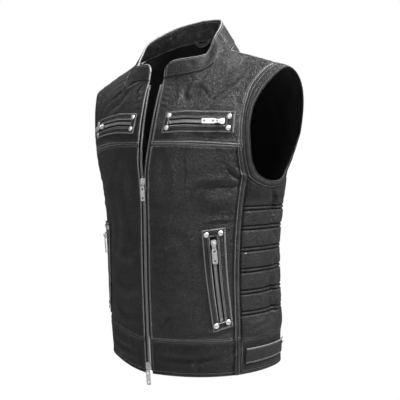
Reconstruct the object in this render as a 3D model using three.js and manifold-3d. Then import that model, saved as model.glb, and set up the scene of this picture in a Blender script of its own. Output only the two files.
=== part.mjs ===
// A sleeveless leather vest, stood as it is worn, with nobody in it.
// Millimetres, +Z up. The wearer faces -Y and the wearer's left is +X.
// The origin lies between the two neck points of the shoulders, where a wearer or hanger holds it.
import * as THREE from 'three';
import Module from 'manifold-3d';

const wasm = await Module();
wasm.setup();

// Driving sizes

// Level rings of the worn body of the vest: height, half width, depth in front and behind.
const SECTIONS = [
  { z: -600, halfWidth: 168, front: 149, back: 118 },
  { z: -535, halfWidth: 171, front: 151, back: 116 },
  { z: -440, halfWidth: 171.5, front: 152, back: 114 },
  { z: -360, halfWidth: 175.5, front: 150.5, back: 115 },
  { z: -290, halfWidth: 184.5, front: 149, back: 119 },
  { z: -235, halfWidth: 194.5, front: 149, back: 123.5 },
];
const RING_POWER_FRONT = 2.25;
const RING_POWER_BACK = 2.5;
const RING_POWER_BACK_ADDED = 1.0;
const MIDDLE_Y = 2;

// The underarm level, and the rise from it to the shoulder line. Heights h below are from this level.
const UNDERARM_Z = -235;
const SHOULDER_RISE = 235;
const SHOULDER_REACH = 252.6;
const SHOULDER_DROP = 50;
const NECK_SHARE = 0.36;
const NECK_HUMP_FRONT = 20;
const NECK_HUMP_BACK = 85;
const NECK_SHARE_FRONT = 0.5;
const NECK_SHARE_BACK = 0.43;
const RIDGE_Y_NECK = -21;
const RIDGE_Y_TIP = -9;
const CHEST_CURVE = { power: 1.6, root: 0.62 };
const BACK_CURVE = { power: 3, root: 0.5 };
const ARMHOLE_ROOT = 0.5;

// The wearer's right side sits a little higher than the left, by height.
const RIGHT_SIDE_LIFT = [
  { h: -365, lift: 18 },
  { h: -302, lift: 18 },
  { h: -100, lift: 12 },
  { h: 52, lift: 9 },
  { h: 130, lift: 8 },
  { h: 205, lift: 0 },
  { h: 235, lift: 0 },
];
const LIFT_FULL_AT_X = 120;

// The largest soft folds of the worn leather. Each runs from one place to another, given in quarter
// turns from the middle of the front (left positive, 2 behind) and height. Depth is inward.
const FOLDS = [
  { c0: 0.46, h0: 200, c1: 0.31, h1: 122, depth: 2.8, half: 9 },
  { c0: 0.35, h0: 196, c1: 0.27, h1: 128, depth: -2.6, half: 14 },
  { c0: 0.18, h0: 162, c1: 0.2, h1: 118, depth: 2, half: 11 },
  { c0: -0.14, h0: 194, c1: -0.31, h1: 152, depth: 2.8, half: 10 },
  { c0: -0.3, h0: 196, c1: -0.45, h1: 160, depth: -2.2, half: 12 },
  { c0: 0.34, h0: -22, c1: 0.71, h1: -26, depth: 3.2, half: 11 },
  { c0: 0.4, h0: -46, c1: 0.7, h1: -48, depth: -2.2, half: 11 },
  { c0: 0.3, h0: -66, c1: 0.64, h1: -72, depth: 2.4, half: 11 },
  { c0: -0.32, h0: -18, c1: -0.7, h1: -34, depth: 2.8, half: 12 },
  { c0: -0.28, h0: -70, c1: -0.6, h1: -78, depth: 1.8, half: 12 },
  { c0: 1, h0: -22, c1: 1.02, h1: -120, depth: 3, half: 11 },
  { c0: 1.11, h0: -24, c1: 1.12, h1: -118, depth: -2.4, half: 12 },
  { c0: 0.99, h0: -172, c1: 1.01, h1: -296, depth: 3, half: 12 },
  { c0: 1.12, h0: -178, c1: 1.13, h1: -292, depth: -2.6, half: 13 },
  { c0: -0.98, h0: -30, c1: -1.02, h1: -130, depth: 2.8, half: 12 },
  { c0: -1.1, h0: -30, c1: -1.13, h1: -126, depth: -2.2, half: 12 },
  { c0: -1, h0: -180, c1: -0.97, h1: -292, depth: 2.8, half: 12 },
  { c0: 0.06, h0: -331, c1: 0.56, h1: -335, depth: 2.2, half: 10 },
  { c0: -0.08, h0: -336, c1: -0.5, h1: -332, depth: 1.8, half: 10 },
  { c0: 1.36, h0: -6, c1: 1.82, h1: -46, depth: 3.2, half: 15 },
  { c0: -1.36, h0: -24, c1: -1.76, h1: -62, depth: 3, half: 15 },
  { c0: 1.4, h0: -138, c1: 1.96, h1: -166, depth: 3, half: 15 },
  { c0: -1.4, h0: -152, c1: -2.02, h1: -178, depth: 2.8, half: 15 },
  { c0: 1.5, h0: -208, c1: 2.16, h1: -238, depth: 2.6, half: 15 },
  { c0: 1.52, h0: 168, c1: 1.46, h1: 70, depth: 2.8, half: 16 },
  { c0: -1.54, h0: 164, c1: -1.44, h1: 62, depth: 3, half: 16 },
  { c0: 1.98, h0: 150, c1: 2.02, h1: 20, depth: 2, half: 20 },
];
const QUARTER_TURN = 240;
const FULL_TURN = 4;
// Folds fade where the leather is held: at the side seams, the chest seam and the shoulders.
const HELD = { front: 0.7, back: 1.32, reach: 22, chest: 52, chestReach: 16, top: 222, topReach: 36 };

// Levels of the seams that run around.
const HEM_H = -365;
const HEM_SEAM_H = -302;
const CHEST_SEAM_H = 52;
const UNDERARM_SEAM_H = -10;

// Half of the gap between the two front edges, on each side of the middle.
const FRONT_OPENING = [
  { h: -365, left: 4.4, right: 4.4 },
  { h: -40, left: 4.4, right: 4.4 },
  { h: -20, left: 5.8, right: 5.8 },
  { h: 0, left: 6.6, right: 7.6 },
  { h: 28, left: 9, right: 11 },
  { h: 60, left: 12, right: 13 },
  { h: 110, left: 13.5, right: 16 },
  { h: 165, left: 14, right: 20 },
  { h: 235, left: 14, right: 20 },
];

// Side seams, as a share of the half width.
const SIDE_SEAM = [
  { h: -365, front: 0.9, back: 0.9 },
  { h: -302, front: 0.903, back: 0.9 },
  { h: -60, front: 0.906, back: 0.917 },
  { h: -10, front: 0.912, back: 0.933 },
];
// The armhole's edge, and the seam of the band that binds it, as shares of the half width.
const ARMHOLE = [
  { h: -10, edgeFront: 0.966, seamFront: 0.912, edgeBack: 0.98, seamBack: 0.933 },
  { h: 24, edgeFront: 0.922, seamFront: 0.876, edgeBack: 0.963, seamBack: 0.912 },
  { h: 66, edgeFront: 0.886, seamFront: 0.838, edgeBack: 0.952, seamBack: 0.89 },
  { h: 106, edgeFront: 0.854, seamFront: 0.806, edgeBack: 0.945, seamBack: 0.875 },
  { h: 140, edgeFront: 0.843, seamFront: 0.788, edgeBack: 0.942, seamBack: 0.868 },
  { h: 172, edgeFront: 0.855, seamFront: 0.78, edgeBack: 0.938, seamBack: 0.862 },
  { h: 207, edgeFront: 0.884, seamFront: 0.798, edgeBack: 0.93, seamBack: 0.848 },
  { h: 235, edgeFront: 0.915, seamFront: 0.83, edgeBack: 0.915, seamBack: 0.83 },
];
const ARMHOLE_BOTTOM = { edge: -17, seam: -31, edgeStart: -3 };

// The neck seam and the collar's upper edge, by share of the way from the middle of the back to
// the middle of the front. Each row is a place on the wearer's left.
const COLLAR = [
  { t: 0, x: 0, y: 57, z: 38, topX: 0, topY: 55, topZ: 80 },
  { t: 0.25, x: 60, y: 51, z: 33, topX: 50, topY: 40, topZ: 72 },
  { t: 0.38, x: 93, y: 26, z: 18, topX: 73, topY: 12, topZ: 56 },
  { t: 0.5, x: 112, y: -20, z: -4.5, topX: 86, topY: -22, topZ: 32 },
  { t: 0.75, x: 88, y: -76, z: -47, topX: 81, topY: -57, topZ: -14 },
  { t: 1, x: 14, y: -96.5, z: -54, topX: 15, topY: -90, topZ: -21 },
];
// The right end of the collar hangs a little farther out than the left one.
const RIGHT_COLLAR_ASIDE = { foot: 6, top: 3 };
const COLLAR_CORNER = [
  { t: 0, height: 1 },
  { t: 0.9, height: 1 },
  { t: 0.95, height: 0.95 },
  { t: 0.98, height: 0.8 },
  { t: 1, height: 0.5 },
];
const NECK_DRAW_FROM = 90;
// Height of the front and back pieces at the neck seam, by share of the piece's width there.
const FRONT_NECK = [
  { u: 0, h: 165, t: 1 },
  { u: 0.2, h: 167 },
  { u: 0.36, h: 175 },
  { u: 0.42, h: 188 },
  { u: 0.455, h: 200 },
  { u: 0.485, h: 216 },
  { u: 0.505, h: 235, t: 0.5 },
  { u: 1, h: 235 },
];
const BACK_NECK = [
  { u: 0, h: 211, t: 0 },
  { u: 0.17, h: 211 },
  { u: 0.3, h: 213 },
  { u: 0.4, h: 217 },
  { u: 0.47, h: 225 },
  { u: 0.524, h: 235, t: 0.5 },
  { u: 1, h: 235 },
];

// Walls, and the gaps left at seams.
const LEATHER = 2;
const HEM_LEATHER = 2.6;
const COLLAR_LEATHER = 3;
const BAND_LEATHER = 2.6;
const SEAM_LAP_WIDTH = 9.5;
const SEAM_LAP_RISE = 0.9;
const SEAM_INSET = 0.22;
const SEAT = 0.3;

// Corded tucks across the side pieces.
const TUCK_HEIGHTS = [-255, -217, -178, -140, -101, -66];
const TUCK = { width: 6.4, crown: 3.4, rise: 1.5 };

// Patches with riveted corners, as places on the front: share of the half width, and height.
// The zip runs from start to end; the pull tab points from the slider towards its point.
const CHEST_LEFT = {
  name: 'chest_pocket_left', sign: 1, along: 12, across: 5,
  corners: [[0.172, 69], [0.772, 80], [0.742, 122], [0.178, 106]],
  slot: { from: 0.085, to: 0.9, low: 0.34, high: 0.66 },
  rivets: [[0.07, 0.8], [0.07, 0.24], [0.93, 0.76], [0.93, 0.22]],
  slider: 0.845, pull: 0.45,
};
const CHEST_RIGHT = {
  name: 'chest_pocket_right', sign: -1, along: 12, across: 5,
  corners: [[0.148, 71], [0.765, 80], [0.735, 122], [0.13, 107]],
  slot: { from: 0.085, to: 0.9, low: 0.34, high: 0.66 },
  rivets: [[0.07, 0.8], [0.07, 0.24], [0.93, 0.76], [0.93, 0.22]],
  slider: 0.77, pull: 1.1,
};
const LOWER_LEFT = {
  name: 'lower_pocket_left', sign: 1, along: 14, across: 5,
  corners: [[0.713, -285], [0.619, -102], [0.805, -98], [0.856, -275]],
  slot: { from: 0.075, to: 0.925, low: 0.34, high: 0.66 },
  rivets: [[0.055, 0.2], [0.055, 0.8], [0.95, 0.2], [0.95, 0.8]],
  slider: 0.855, pull: 0.5,
};
const LOWER_RIGHT = { ...LOWER_LEFT, name: 'lower_pocket_right', sign: -1 };
const PATCH_LEATHER = 1.8;
const RIVET = { radius: 4.75, rise: 2.6 };

// Zips: tape, row of teeth, slider and pull tab.
const TAPE = { width: 13, thick: 1.2, teethWidth: 3, teethRise: 3.4 };
const SLIDER = { length: 13, width: 10, thick: 3.2, bridgeWidth: 2.4, bridgeBar: 1.2, clear: 2.4 };
const BRIDGE = { length: 7.2, post: 1.5 };
const TAB = { length: 36, width: 9.6, neck: 6.8, thick: 1.4, eyeWidth: 4, eyeLength: 7.4, bar: 1.2 };
const TAB_TILT = 2;
const MAIN_SLIDER_H = -12;
const LOWER_SLIDER_H = -350;

// The adjusting strap on each side of the hem, and its snap.
const STRAP = { top: -318, bottom: -346, front: 0.27, back: -0.27, thick: 1.8, flare: 2.6 };
const SNAP = { radius: 5, rise: 2.2 };
const HANGER = { half: 21, drop: 11, reach: 6, width: 6, thick: 1.4, gap: 2.2 };

const LEATHER_COLOUR = 0x2b2b2c;
const BAND_COLOUR = 0x242425;
const METAL_COLOUR = 0xbfc0c2;
const TAPE_COLOUR = 0x17171a;

const vest = new THREE.Group();
vest.name = 'leather_vest';

// A smooth curve through one column of a table, without overshoot.
function smooth(table, along, column, at) {
  const last = table.length - 1;
  if (at <= table[0][along]) return table[0][column];
  if (at >= table[last][along]) return table[last][column];
  const step = (k) => table[k + 1][along] - table[k][along];
  const grade = (k) => (table[k + 1][column] - table[k][column]) / step(k);
  const slope = (k) => {
    if (k === 0) return grade(0);
    if (k === last) return grade(last - 1);
    const before = grade(k - 1);
    const after = grade(k);
    if (before * after <= 0) return 0;
    const w1 = 2 * step(k) + step(k - 1);
    const w2 = step(k) + 2 * step(k - 1);
    return (w1 + w2) / (w1 / before + w2 / after);
  };
  let k = 0;
  while (at > table[k + 1][along]) k += 1;
  const width = step(k);
  const x = (at - table[k][along]) / width;
  const rise = x * x * (3 - 2 * x);
  const startPull = x * (1 - x) * (1 - x) * width * slope(k);
  const endPull = x * x * (1 - x) * width * slope(k + 1);
  return table[k][column] * (1 - rise) + table[k + 1][column] * rise + startPull - endPull;
}

const mix = (a, b, share) => a + (b - a) * share;
const clamp01 = (x) => Math.min(1, Math.max(0, x));

// The worn form: one ring for each level, closed above the underarm to the shoulder line.
function halfWidthAt(h) {
  const ring = smooth(SECTIONS, 'z', 'halfWidth', UNDERARM_Z + Math.min(h, 0));
  return mix(ring, SHOULDER_REACH, clamp01(h / SHOULDER_RISE));
}

function ringPower(h, side) {
  if (side < 0) return RING_POWER_FRONT;
  return RING_POWER_BACK + RING_POWER_BACK_ADDED * clamp01(h / SHOULDER_RISE / 0.4);
}

function shoulderLine(share) {
  const out = Math.max(0, (share - NECK_SHARE) / 0.57);
  return -SHOULDER_DROP * out ** 1.15;
}

function neckHump(share, up, side) {
  if (side < 0) return NECK_HUMP_FRONT * up * Math.max(0, 1 - (share / NECK_SHARE_FRONT) ** 2) ** 2;
  return NECK_HUMP_BACK * up ** 3 * Math.max(0, 1 - (share / NECK_SHARE_BACK) ** 4);
}

function foldDepth(turns, h) {
  const around = Math.abs(turns);
  const fromSeam = Math.min(Math.abs(around - HELD.front), Math.abs(around - HELD.back));
  const fromChest = around < HELD.front ? Math.abs(h - HELD.chest) / HELD.chestReach : 1;
  const held = clamp01(fromSeam * QUARTER_TURN / HELD.reach) * clamp01(fromChest)
    * clamp01((HELD.top - h) / HELD.topReach);
  let depth = 0;
  for (const fold of FOLDS) {
    const apart = turns - fold.c0;
    const x = (apart - FULL_TURN * Math.round(apart / FULL_TURN)) * QUARTER_TURN;
    const y = h - fold.h0;
    const wayX = (fold.c1 - fold.c0) * QUARTER_TURN;
    const wayY = fold.h1 - fold.h0;
    const t = (x * wayX + y * wayY) / (wayX ** 2 + wayY ** 2);
    if (t <= 0 || t >= 1) continue;
    const aside = Math.hypot(x - t * wayX, y - t * wayY);
    depth += fold.depth * Math.sin(Math.PI * t) * Math.exp(-((aside / fold.half) ** 2));
  }
  return depth * held;
}

function bodyPoint(s, h, side) {
  const share = Math.min(1, Math.abs(s));
  const up = clamp01(h / SHOULDER_RISE);
  const level = UNDERARM_Z + Math.min(h, 0);
  const depth = smooth(SECTIONS, 'z', side < 0 ? 'front' : 'back', level);
  const power = ringPower(h, side);
  const ringY = MIDDLE_Y + side * depth * Math.max(0, 1 - share ** power) ** (1 / power);
  const curve = side < 0 ? CHEST_CURVE : BACK_CURVE;
  const root = mix(curve.root, ARMHOLE_ROOT, clamp01((share - 0.55) / 0.35));
  const hold = Math.max(0, 1 - up ** curve.power) ** root;
  const ridge = mix(RIDGE_Y_NECK, RIDGE_Y_TIP, clamp01((share - NECK_SHARE) / 0.57));
  const x = s * halfWidthAt(h);
  const y = mix(ridge, ringY, hold);
  const rise = up * (shoulderLine(share) - UNDERARM_Z) + neckHump(share, up, side);
  const z = UNDERARM_Z + (h <= 0 ? h : rise);
  const sideways = clamp01(-x / LIFT_FULL_AT_X);
  const lift = smooth(RIGHT_SIDE_LIFT, 'h', 'lift', h) * sideways * sideways * (3 - 2 * sideways);
  const fromFront = Math.asin(share ** (power / 2)) * 2 / Math.PI;
  const turns = (s < 0 ? -1 : 1) * (side < 0 ? fromFront : FULL_TURN / 2 - fromFront);
  const inwards = 1 - foldDepth(turns, h) / Math.hypot(x, y - MIDDLE_Y);
  return new THREE.Vector3(x * inwards, MIDDLE_Y + (y - MIDDLE_Y) * inwards, z + lift);
}

function shareOfTurn(turn, h) {
  const power = ringPower(h, turn >= 0 ? -1 : 1);
  return Math.max(0, Math.cos(turn * Math.PI / 2)) ** (2 / power);
}

function turnOfShare(share, h, side) {
  const power = ringPower(h, side);
  return -side * Math.acos(Math.min(1, share) ** (power / 2)) * 2 / Math.PI;
}

function outward(p, across, upwards) {
  const n = new THREE.Vector3().crossVectors(across, upwards).normalize();
  const fromInside = new THREE.Vector3(p.x * 0.7, p.y - MIDDLE_Y, 60);
  return n.dot(fromInside) < 0 ? n.negate() : n;
}

// A place on the front (side -1) or back (side +1), with its outward direction.
function place(s, h, side) {
  const p = bodyPoint(s, h, side);
  const low = Math.max(h - 0.6, -400);
  const high = Math.min(h + 0.6, SHOULDER_RISE);
  const across = bodyPoint(s + 0.002, h, side).sub(bodyPoint(s - 0.002, h, side));
  const upwards = bodyPoint(s, high, side).sub(bodyPoint(s, low, side));
  const n = outward(p, across, upwards);
  if (h > SHOULDER_RISE - 0.5) {
    n.y = 0;
    n.normalize();
  }
  return { p, n };
}

// A place on a flank: turn is 0 at the side, positive towards the front; sign is -1 on the right.
function flank(turn, h, sign) {
  const at = (t, level) => bodyPoint(sign * shareOfTurn(t, level), level, t >= 0 ? -1 : 1);
  const p = at(turn, h);
  const low = Math.max(h - 0.6, -400);
  const high = Math.min(h + 0.6, SHOULDER_RISE);
  const across = at(turn + 0.004, h).sub(at(turn - 0.004, h));
  const upwards = at(turn, high).sub(at(turn, low));
  const n = outward(p, across, upwards);
  if (h > SHOULDER_RISE - 0.5) {
    n.y = 0;
    n.normalize();
  }
  return { p, n };
}

// Closed walls through a grid of places. Each place may say how far out its two faces lie.
function draw_in(rows, ring) {
  const last = rows.length - 1;
  const end = rows[0].length - 1;
  const copy = rows.map((row) => row.map((q) => q.p.clone()));
  const pull = (j, i, fromJ, fromI) => {
    const way = copy[fromJ][fromI].clone().sub(copy[j][i]).normalize();
    rows[j][i].p.addScaledVector(way, SEAM_INSET);
  };
  for (let i = 0; i <= end; i += 1) {
    pull(0, i, 1, i);
    pull(last, i, last - 1, i);
  }
  for (let j = 0; j <= last && !ring; j += 1) {
    pull(j, 0, j, 1);
    pull(j, end, j, end - 1);
  }
}

function wall(rows, options) {
  const { outer, inner, ring = false, hole = () => false, inset = true } = options;
  if (inset) draw_in(rows, ring);
  const count = rows[0].length;
  const positions = [];
  const faces = [];
  rows.forEach((row, j) => row.forEach((q, i) => {
    const outAt = typeof outer === 'function' ? outer(i, j) : outer;
    const inAt = typeof inner === 'function' ? inner(i, j) : inner;
    const a = q.p.clone().addScaledVector(q.n, outAt);
    const b = q.p.clone().addScaledVector(q.n, inAt);
    positions.push(a.x, a.y, a.z, b.x, b.y, b.z);
  }));
  const across = ring ? count : count - 1;
  const down = rows.length - 1;
  const at = (i, j, side) => 2 * (j * count + (i % count)) + side;
  const there = (i, j) => {
    if (j < 0 || j >= down) return false;
    if (!ring && (i < 0 || i >= across)) return false;
    return !hole((i + across) % across, j);
  };
  const corner = (k) => new THREE.Vector3(positions[3 * k], positions[3 * k + 1], positions[3 * k + 2]);
  const apart = (a, b) => corner(a).distanceTo(corner(b));
  // Each four-sided cell is split along its shorter diagonal.
  const quad = (a, b, c, d) => {
    if (apart(a, c) <= apart(b, d)) faces.push(a, b, c, a, c, d);
    else faces.push(a, b, d, b, c, d);
  };
  for (let j = 0; j < down; j += 1) {
    for (let i = 0; i < across; i += 1) {
      if (!there(i, j)) continue;
      quad(at(i, j, 0), at(i + 1, j, 0), at(i + 1, j + 1, 0), at(i, j + 1, 0));
      quad(at(i, j, 1), at(i, j + 1, 1), at(i + 1, j + 1, 1), at(i + 1, j, 1));
      if (!there(i, j - 1)) quad(at(i, j, 0), at(i, j, 1), at(i + 1, j, 1), at(i + 1, j, 0));
      if (!there(i, j + 1)) {
        quad(at(i, j + 1, 0), at(i + 1, j + 1, 0), at(i + 1, j + 1, 1), at(i, j + 1, 1));
      }
      if (!there(i - 1, j)) quad(at(i, j, 0), at(i, j + 1, 0), at(i, j + 1, 1), at(i, j, 1));
      if (!there(i + 1, j)) {
        quad(at(i + 1, j, 0), at(i + 1, j, 1), at(i + 1, j + 1, 1), at(i + 1, j + 1, 0));
      }
    }
  }
  return closedGeometry(positions, faces);
}

function closedGeometry(positions, faces) {
  const used = new Map();
  const kept = [];
  const index = faces.map((k) => {
    if (!used.has(k)) {
      used.set(k, kept.length / 3);
      kept.push(positions[3 * k], positions[3 * k + 1], positions[3 * k + 2]);
    }
    return used.get(k);
  });
  const corner = (k) => new THREE.Vector3(kept[3 * k], kept[3 * k + 1], kept[3 * k + 2]);
  let volume = 0;
  for (let f = 0; f < index.length; f += 3) {
    const a = corner(index[f]);
    volume += a.dot(corner(index[f + 1]).cross(corner(index[f + 2])));
  }
  if (volume < 0) {
    for (let f = 0; f < index.length; f += 3) {
      [index[f + 1], index[f + 2]] = [index[f + 2], index[f + 1]];
    }
  }
  const geometry = new THREE.BufferGeometry();
  geometry.setAttribute('position', new THREE.Float32BufferAttribute(kept, 3));
  geometry.setIndex(index);
  geometry.computeVertexNormals();
  return geometry;
}

function addPiece(name, geometry, colour, roughness, metalness) {
  const material = new THREE.MeshStandardMaterial({ color: colour, roughness, metalness });
  const mesh = new THREE.Mesh(geometry, material);
  mesh.name = name;
  vest.add(mesh);
  return mesh;
}

const addLeather = (name, geometry) => addPiece(name, geometry, LEATHER_COLOUR, 0.55, 0);
const addBinding = (name, geometry) => addPiece(name, geometry, BAND_COLOUR, 0.5, 0);
const addMetal = (name, geometry) => addPiece(name, geometry, METAL_COLOUR, 0.28, 1);
const addTape = (name, geometry) => addPiece(name, geometry, TAPE_COLOUR, 0.85, 0);

// Rows and columns shared by pieces that meet at a seam.
const BODY_ROWS = [-302, -278, -254, -230, -208, -184, -160, -136, -112, -88, -66, -48, -30, -10, 12,
  32, 52];
const UPPER_ROWS = [0, 0.14, 0.28, 0.42, 0.55, 0.67, 0.78, 0.89, 0.96, 1];
const HEM_ROWS = [-302, -318, -334, -350, -365];
const FLANK_COLUMNS = [0, 0.125, 0.25, 0.375, 0.5, 0.625, 0.75, 0.875, 1];
const FRONT_COLUMNS = [0, 0.1, 0.2, 0.3, 0.4, 0.5, 0.6, 0.7, 0.8, 0.9];
const YOKE_COLUMNS = [0, 0.1, 0.2, 0.3, 0.38, 0.43, 0.46, 0.485, 0.496, 0.505, 0.6, 0.7, 0.8, 0.9, 1];
const BACK_COLUMNS = [0, 0.12, 0.24, 0.34, 0.42, 0.48, 0.505, 0.524, 0.62, 0.74, 0.87, 1];

function frontEdgeShare(h, sign) {
  const gap = smooth(FRONT_OPENING, 'h', sign > 0 ? 'left' : 'right', h);
  return gap / halfWidthAt(h);
}

function outerShare(h, side) {
  if (h <= UNDERARM_SEAM_H) return smooth(SIDE_SEAM, 'h', side < 0 ? 'front' : 'back', h);
  return smooth(ARMHOLE, 'h', side < 0 ? 'seamFront' : 'seamBack', h);
}

// Front pieces and their part of the hem, each from the zip to the side seam.
// The last strip before the side seam is the doubled, topstitched lap.
function frontRows(sign, heights) {
  return heights.map((h) => {
    const edge = frontEdgeShare(h, sign);
    const outer = outerShare(h, -1);
    const lap = outer - SEAM_LAP_WIDTH / halfWidthAt(h) * 0.62;
    const lapFoot = lap - 1.2 / halfWidthAt(h);
    const shares = FRONT_COLUMNS.map((u) => mix(edge, lapFoot, u / 0.97));
    shares.push(lapFoot, lap, outer);
    return shares.map((share) => place(sign * share, h, -1));
  });
}

const lapRise = (i) => (i >= FRONT_COLUMNS.length + 1 ? SEAM_LAP_RISE : 0);
for (const [word, sign] of [['left', 1], ['right', -1]]) {
  addLeather(`front_${word}`, wall(frontRows(sign, BODY_ROWS), { outer: lapRise, inner: -LEATHER }));
  addLeather(`hem_front_${word}`,
    wall(frontRows(sign, HEM_ROWS), { outer: lapRise, inner: -HEM_LEATHER }));
}

// The neck seam and the collar's upper edge as curves; share runs -1 to 1, 0 behind.
function neckSeam(share) {
  const t = Math.abs(share);
  const aside = share < -0.7 ? RIGHT_COLLAR_ASIDE.foot * (-share - 0.7) / 0.3 : 0;
  const x = smooth(COLLAR, 't', 'x', t) * Math.sign(share) - aside;
  return new THREE.Vector3(x, smooth(COLLAR, 't', 'y', t), smooth(COLLAR, 't', 'z', t));
}

function collarTop(share) {
  const t = Math.abs(share);
  const aside = share < -0.7 ? RIGHT_COLLAR_ASIDE.top * (-share - 0.7) / 0.3 : 0;
  const x = smooth(COLLAR, 't', 'topX', t) * Math.sign(share) - aside;
  return new THREE.Vector3(x, smooth(COLLAR, 't', 'topY', t), smooth(COLLAR, 't', 'topZ', t));
}

// The place on the neck seam nearest to a point. The ends of each piece keep their set places.
function nearestOnNeck(p, neck, u, sign) {
  const ends = [neck[0], neck[neck.length - 2]];
  const end = ends.find((row) => Math.abs(row.u - Math.abs(u)) < 1e-6);
  if (end) return neckSeam(sign * end.t);
  let best = neckSeam(0);
  for (let t = 0; t <= 1; t += 0.005) {
    const here = neckSeam(sign * t);
    if (here.distanceTo(p) < best.distanceTo(p)) best = here;
  }
  return best;
}

// Above the chest each piece is drawn towards the neck seam where it reaches it.
function drawToNeck(q, topPlace, u, h, top, neck, sign) {
  const neckEnd = neck[neck.length - 2].u;
  if (Math.abs(u) > neckEnd + 0.001) return q;
  const rise = clamp01((h - NECK_DRAW_FROM) / (top - NECK_DRAW_FROM)) ** 2;
  q.p.addScaledVector(nearestOnNeck(topPlace.p, neck, u, sign).sub(topPlace.p), rise);
  return q;
}

function yokeRows(sign) {
  return UPPER_ROWS.map((t) => YOKE_COLUMNS.map((u) => {
    const top = smooth(FRONT_NECK, 'u', 'h', u);
    const h = mix(CHEST_SEAM_H, top, t);
    const share = (level) => mix(frontEdgeShare(level, sign), outerShare(level, -1), u);
    const topPlace = place(sign * share(top), top, -1);
    return drawToNeck(place(sign * share(h), h, -1), topPlace, u, h, top, FRONT_NECK, sign);
  }));
}

addLeather('yoke_left', wall(yokeRows(1), { outer: 0, inner: -LEATHER }));
addLeather('yoke_right', wall(yokeRows(-1), { outer: 0, inner: -LEATHER }));

// The back is one piece from the hem seam to the shoulder seams and the neck.
function backRows() {
  const columns = [...BACK_COLUMNS.slice(1).reverse().map((u) => -u), ...BACK_COLUMNS];
  const lower = BODY_ROWS.map((h) => columns.map((u) => place(u * outerShare(h, 1), h, 1)));
  const upper = UPPER_ROWS.slice(1).map((t) => columns.map((u) => {
    const top = smooth(BACK_NECK, 'u', 'h', Math.abs(u));
    const h = mix(CHEST_SEAM_H, top, t);
    const topPlace = place(u * outerShare(top, 1), top, 1);
    const q = place(u * outerShare(h, 1), h, 1);
    return drawToNeck(q, topPlace, u, h, top, BACK_NECK, Math.sign(u));
  }));
  return [...lower, ...upper];
}

addLeather('back', wall(backRows(), { outer: 0, inner: -LEATHER }));

function hemBackRows() {
  const columns = [...BACK_COLUMNS.slice(1).reverse().map((u) => -u), ...BACK_COLUMNS];
  return HEM_ROWS.map((h) => columns.map((u) => place(u * outerShare(h, 1), h, 1)));
}

addLeather('hem_back', wall(hemBackRows(), { outer: 0, inner: -HEM_LEATHER }));

// Side pieces, from side seam to side seam under the arm, crossed by corded tucks.
function underarmSeam(u) {
  const frontTurn = turnOfShare(outerShare(UNDERARM_SEAM_H, -1), UNDERARM_SEAM_H, -1);
  const backTurn = turnOfShare(outerShare(UNDERARM_SEAM_H, 1), UNDERARM_SEAM_H, 1);
  const away = Math.abs(2 * u - 1) ** 2.2;
  return { turn: mix(frontTurn, backTurn, u), h: mix(ARMHOLE_BOTTOM.seam, UNDERARM_SEAM_H, away) };
}

function flankTurn(u, h) {
  const frontTurn = turnOfShare(outerShare(h, -1), h, -1);
  const backTurn = turnOfShare(outerShare(h, 1), h, 1);
  return mix(frontTurn, backTurn, u);
}

const FLANK_LEVELS = [{ h: HEM_SEAM_H, rise: 0 }, { h: -280, rise: 0 }];
TUCK_HEIGHTS.forEach((h) => {
  FLANK_LEVELS.push({ h: h - TUCK.width / 2, rise: 0 }, { h: h - TUCK.crown / 2, rise: TUCK.rise });
  FLANK_LEVELS.push({ h: h + TUCK.crown / 2, rise: TUCK.rise }, { h: h + TUCK.width / 2, rise: 0 });
});
FLANK_LEVELS.push({ h: -48, rise: 0 }, { h: -30, rise: 0 });

function flankRows(sign) {
  const top = -48;
  const rows = FLANK_LEVELS.map((level) => FLANK_COLUMNS.map((u) => {
    const share = clamp01((level.h - top) / (UNDERARM_SEAM_H - top));
    const h = level.h <= top ? level.h : mix(top, underarmSeam(u).h, share);
    return flank(flankTurn(u, h), h, sign);
  }));
  rows.push(FLANK_COLUMNS.map((u) => {
    const seam = underarmSeam(u);
    return flank(seam.turn, seam.h, sign);
  }));
  return rows;
}

const tuckRise = (i, j) => {
  const level = FLANK_LEVELS[j];
  const atSeam = i === 0 || i === FLANK_COLUMNS.length - 1;
  return level ? level.rise * (atSeam ? 0.4 : 1) : 0;
};

function hemFlankRows(sign) {
  return HEM_ROWS.map((h) => FLANK_COLUMNS.map((u) => flank(flankTurn(u, h), h, sign)));
}

for (const [word, sign] of [['left', 1], ['right', -1]]) {
  addLeather(`side_${word}`, wall(flankRows(sign), { outer: tuckRise, inner: -LEATHER }));
  addLeather(`hem_side_${word}`,
    wall(hemFlankRows(sign), { outer: 0, inner: -HEM_LEATHER }));
}

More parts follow.
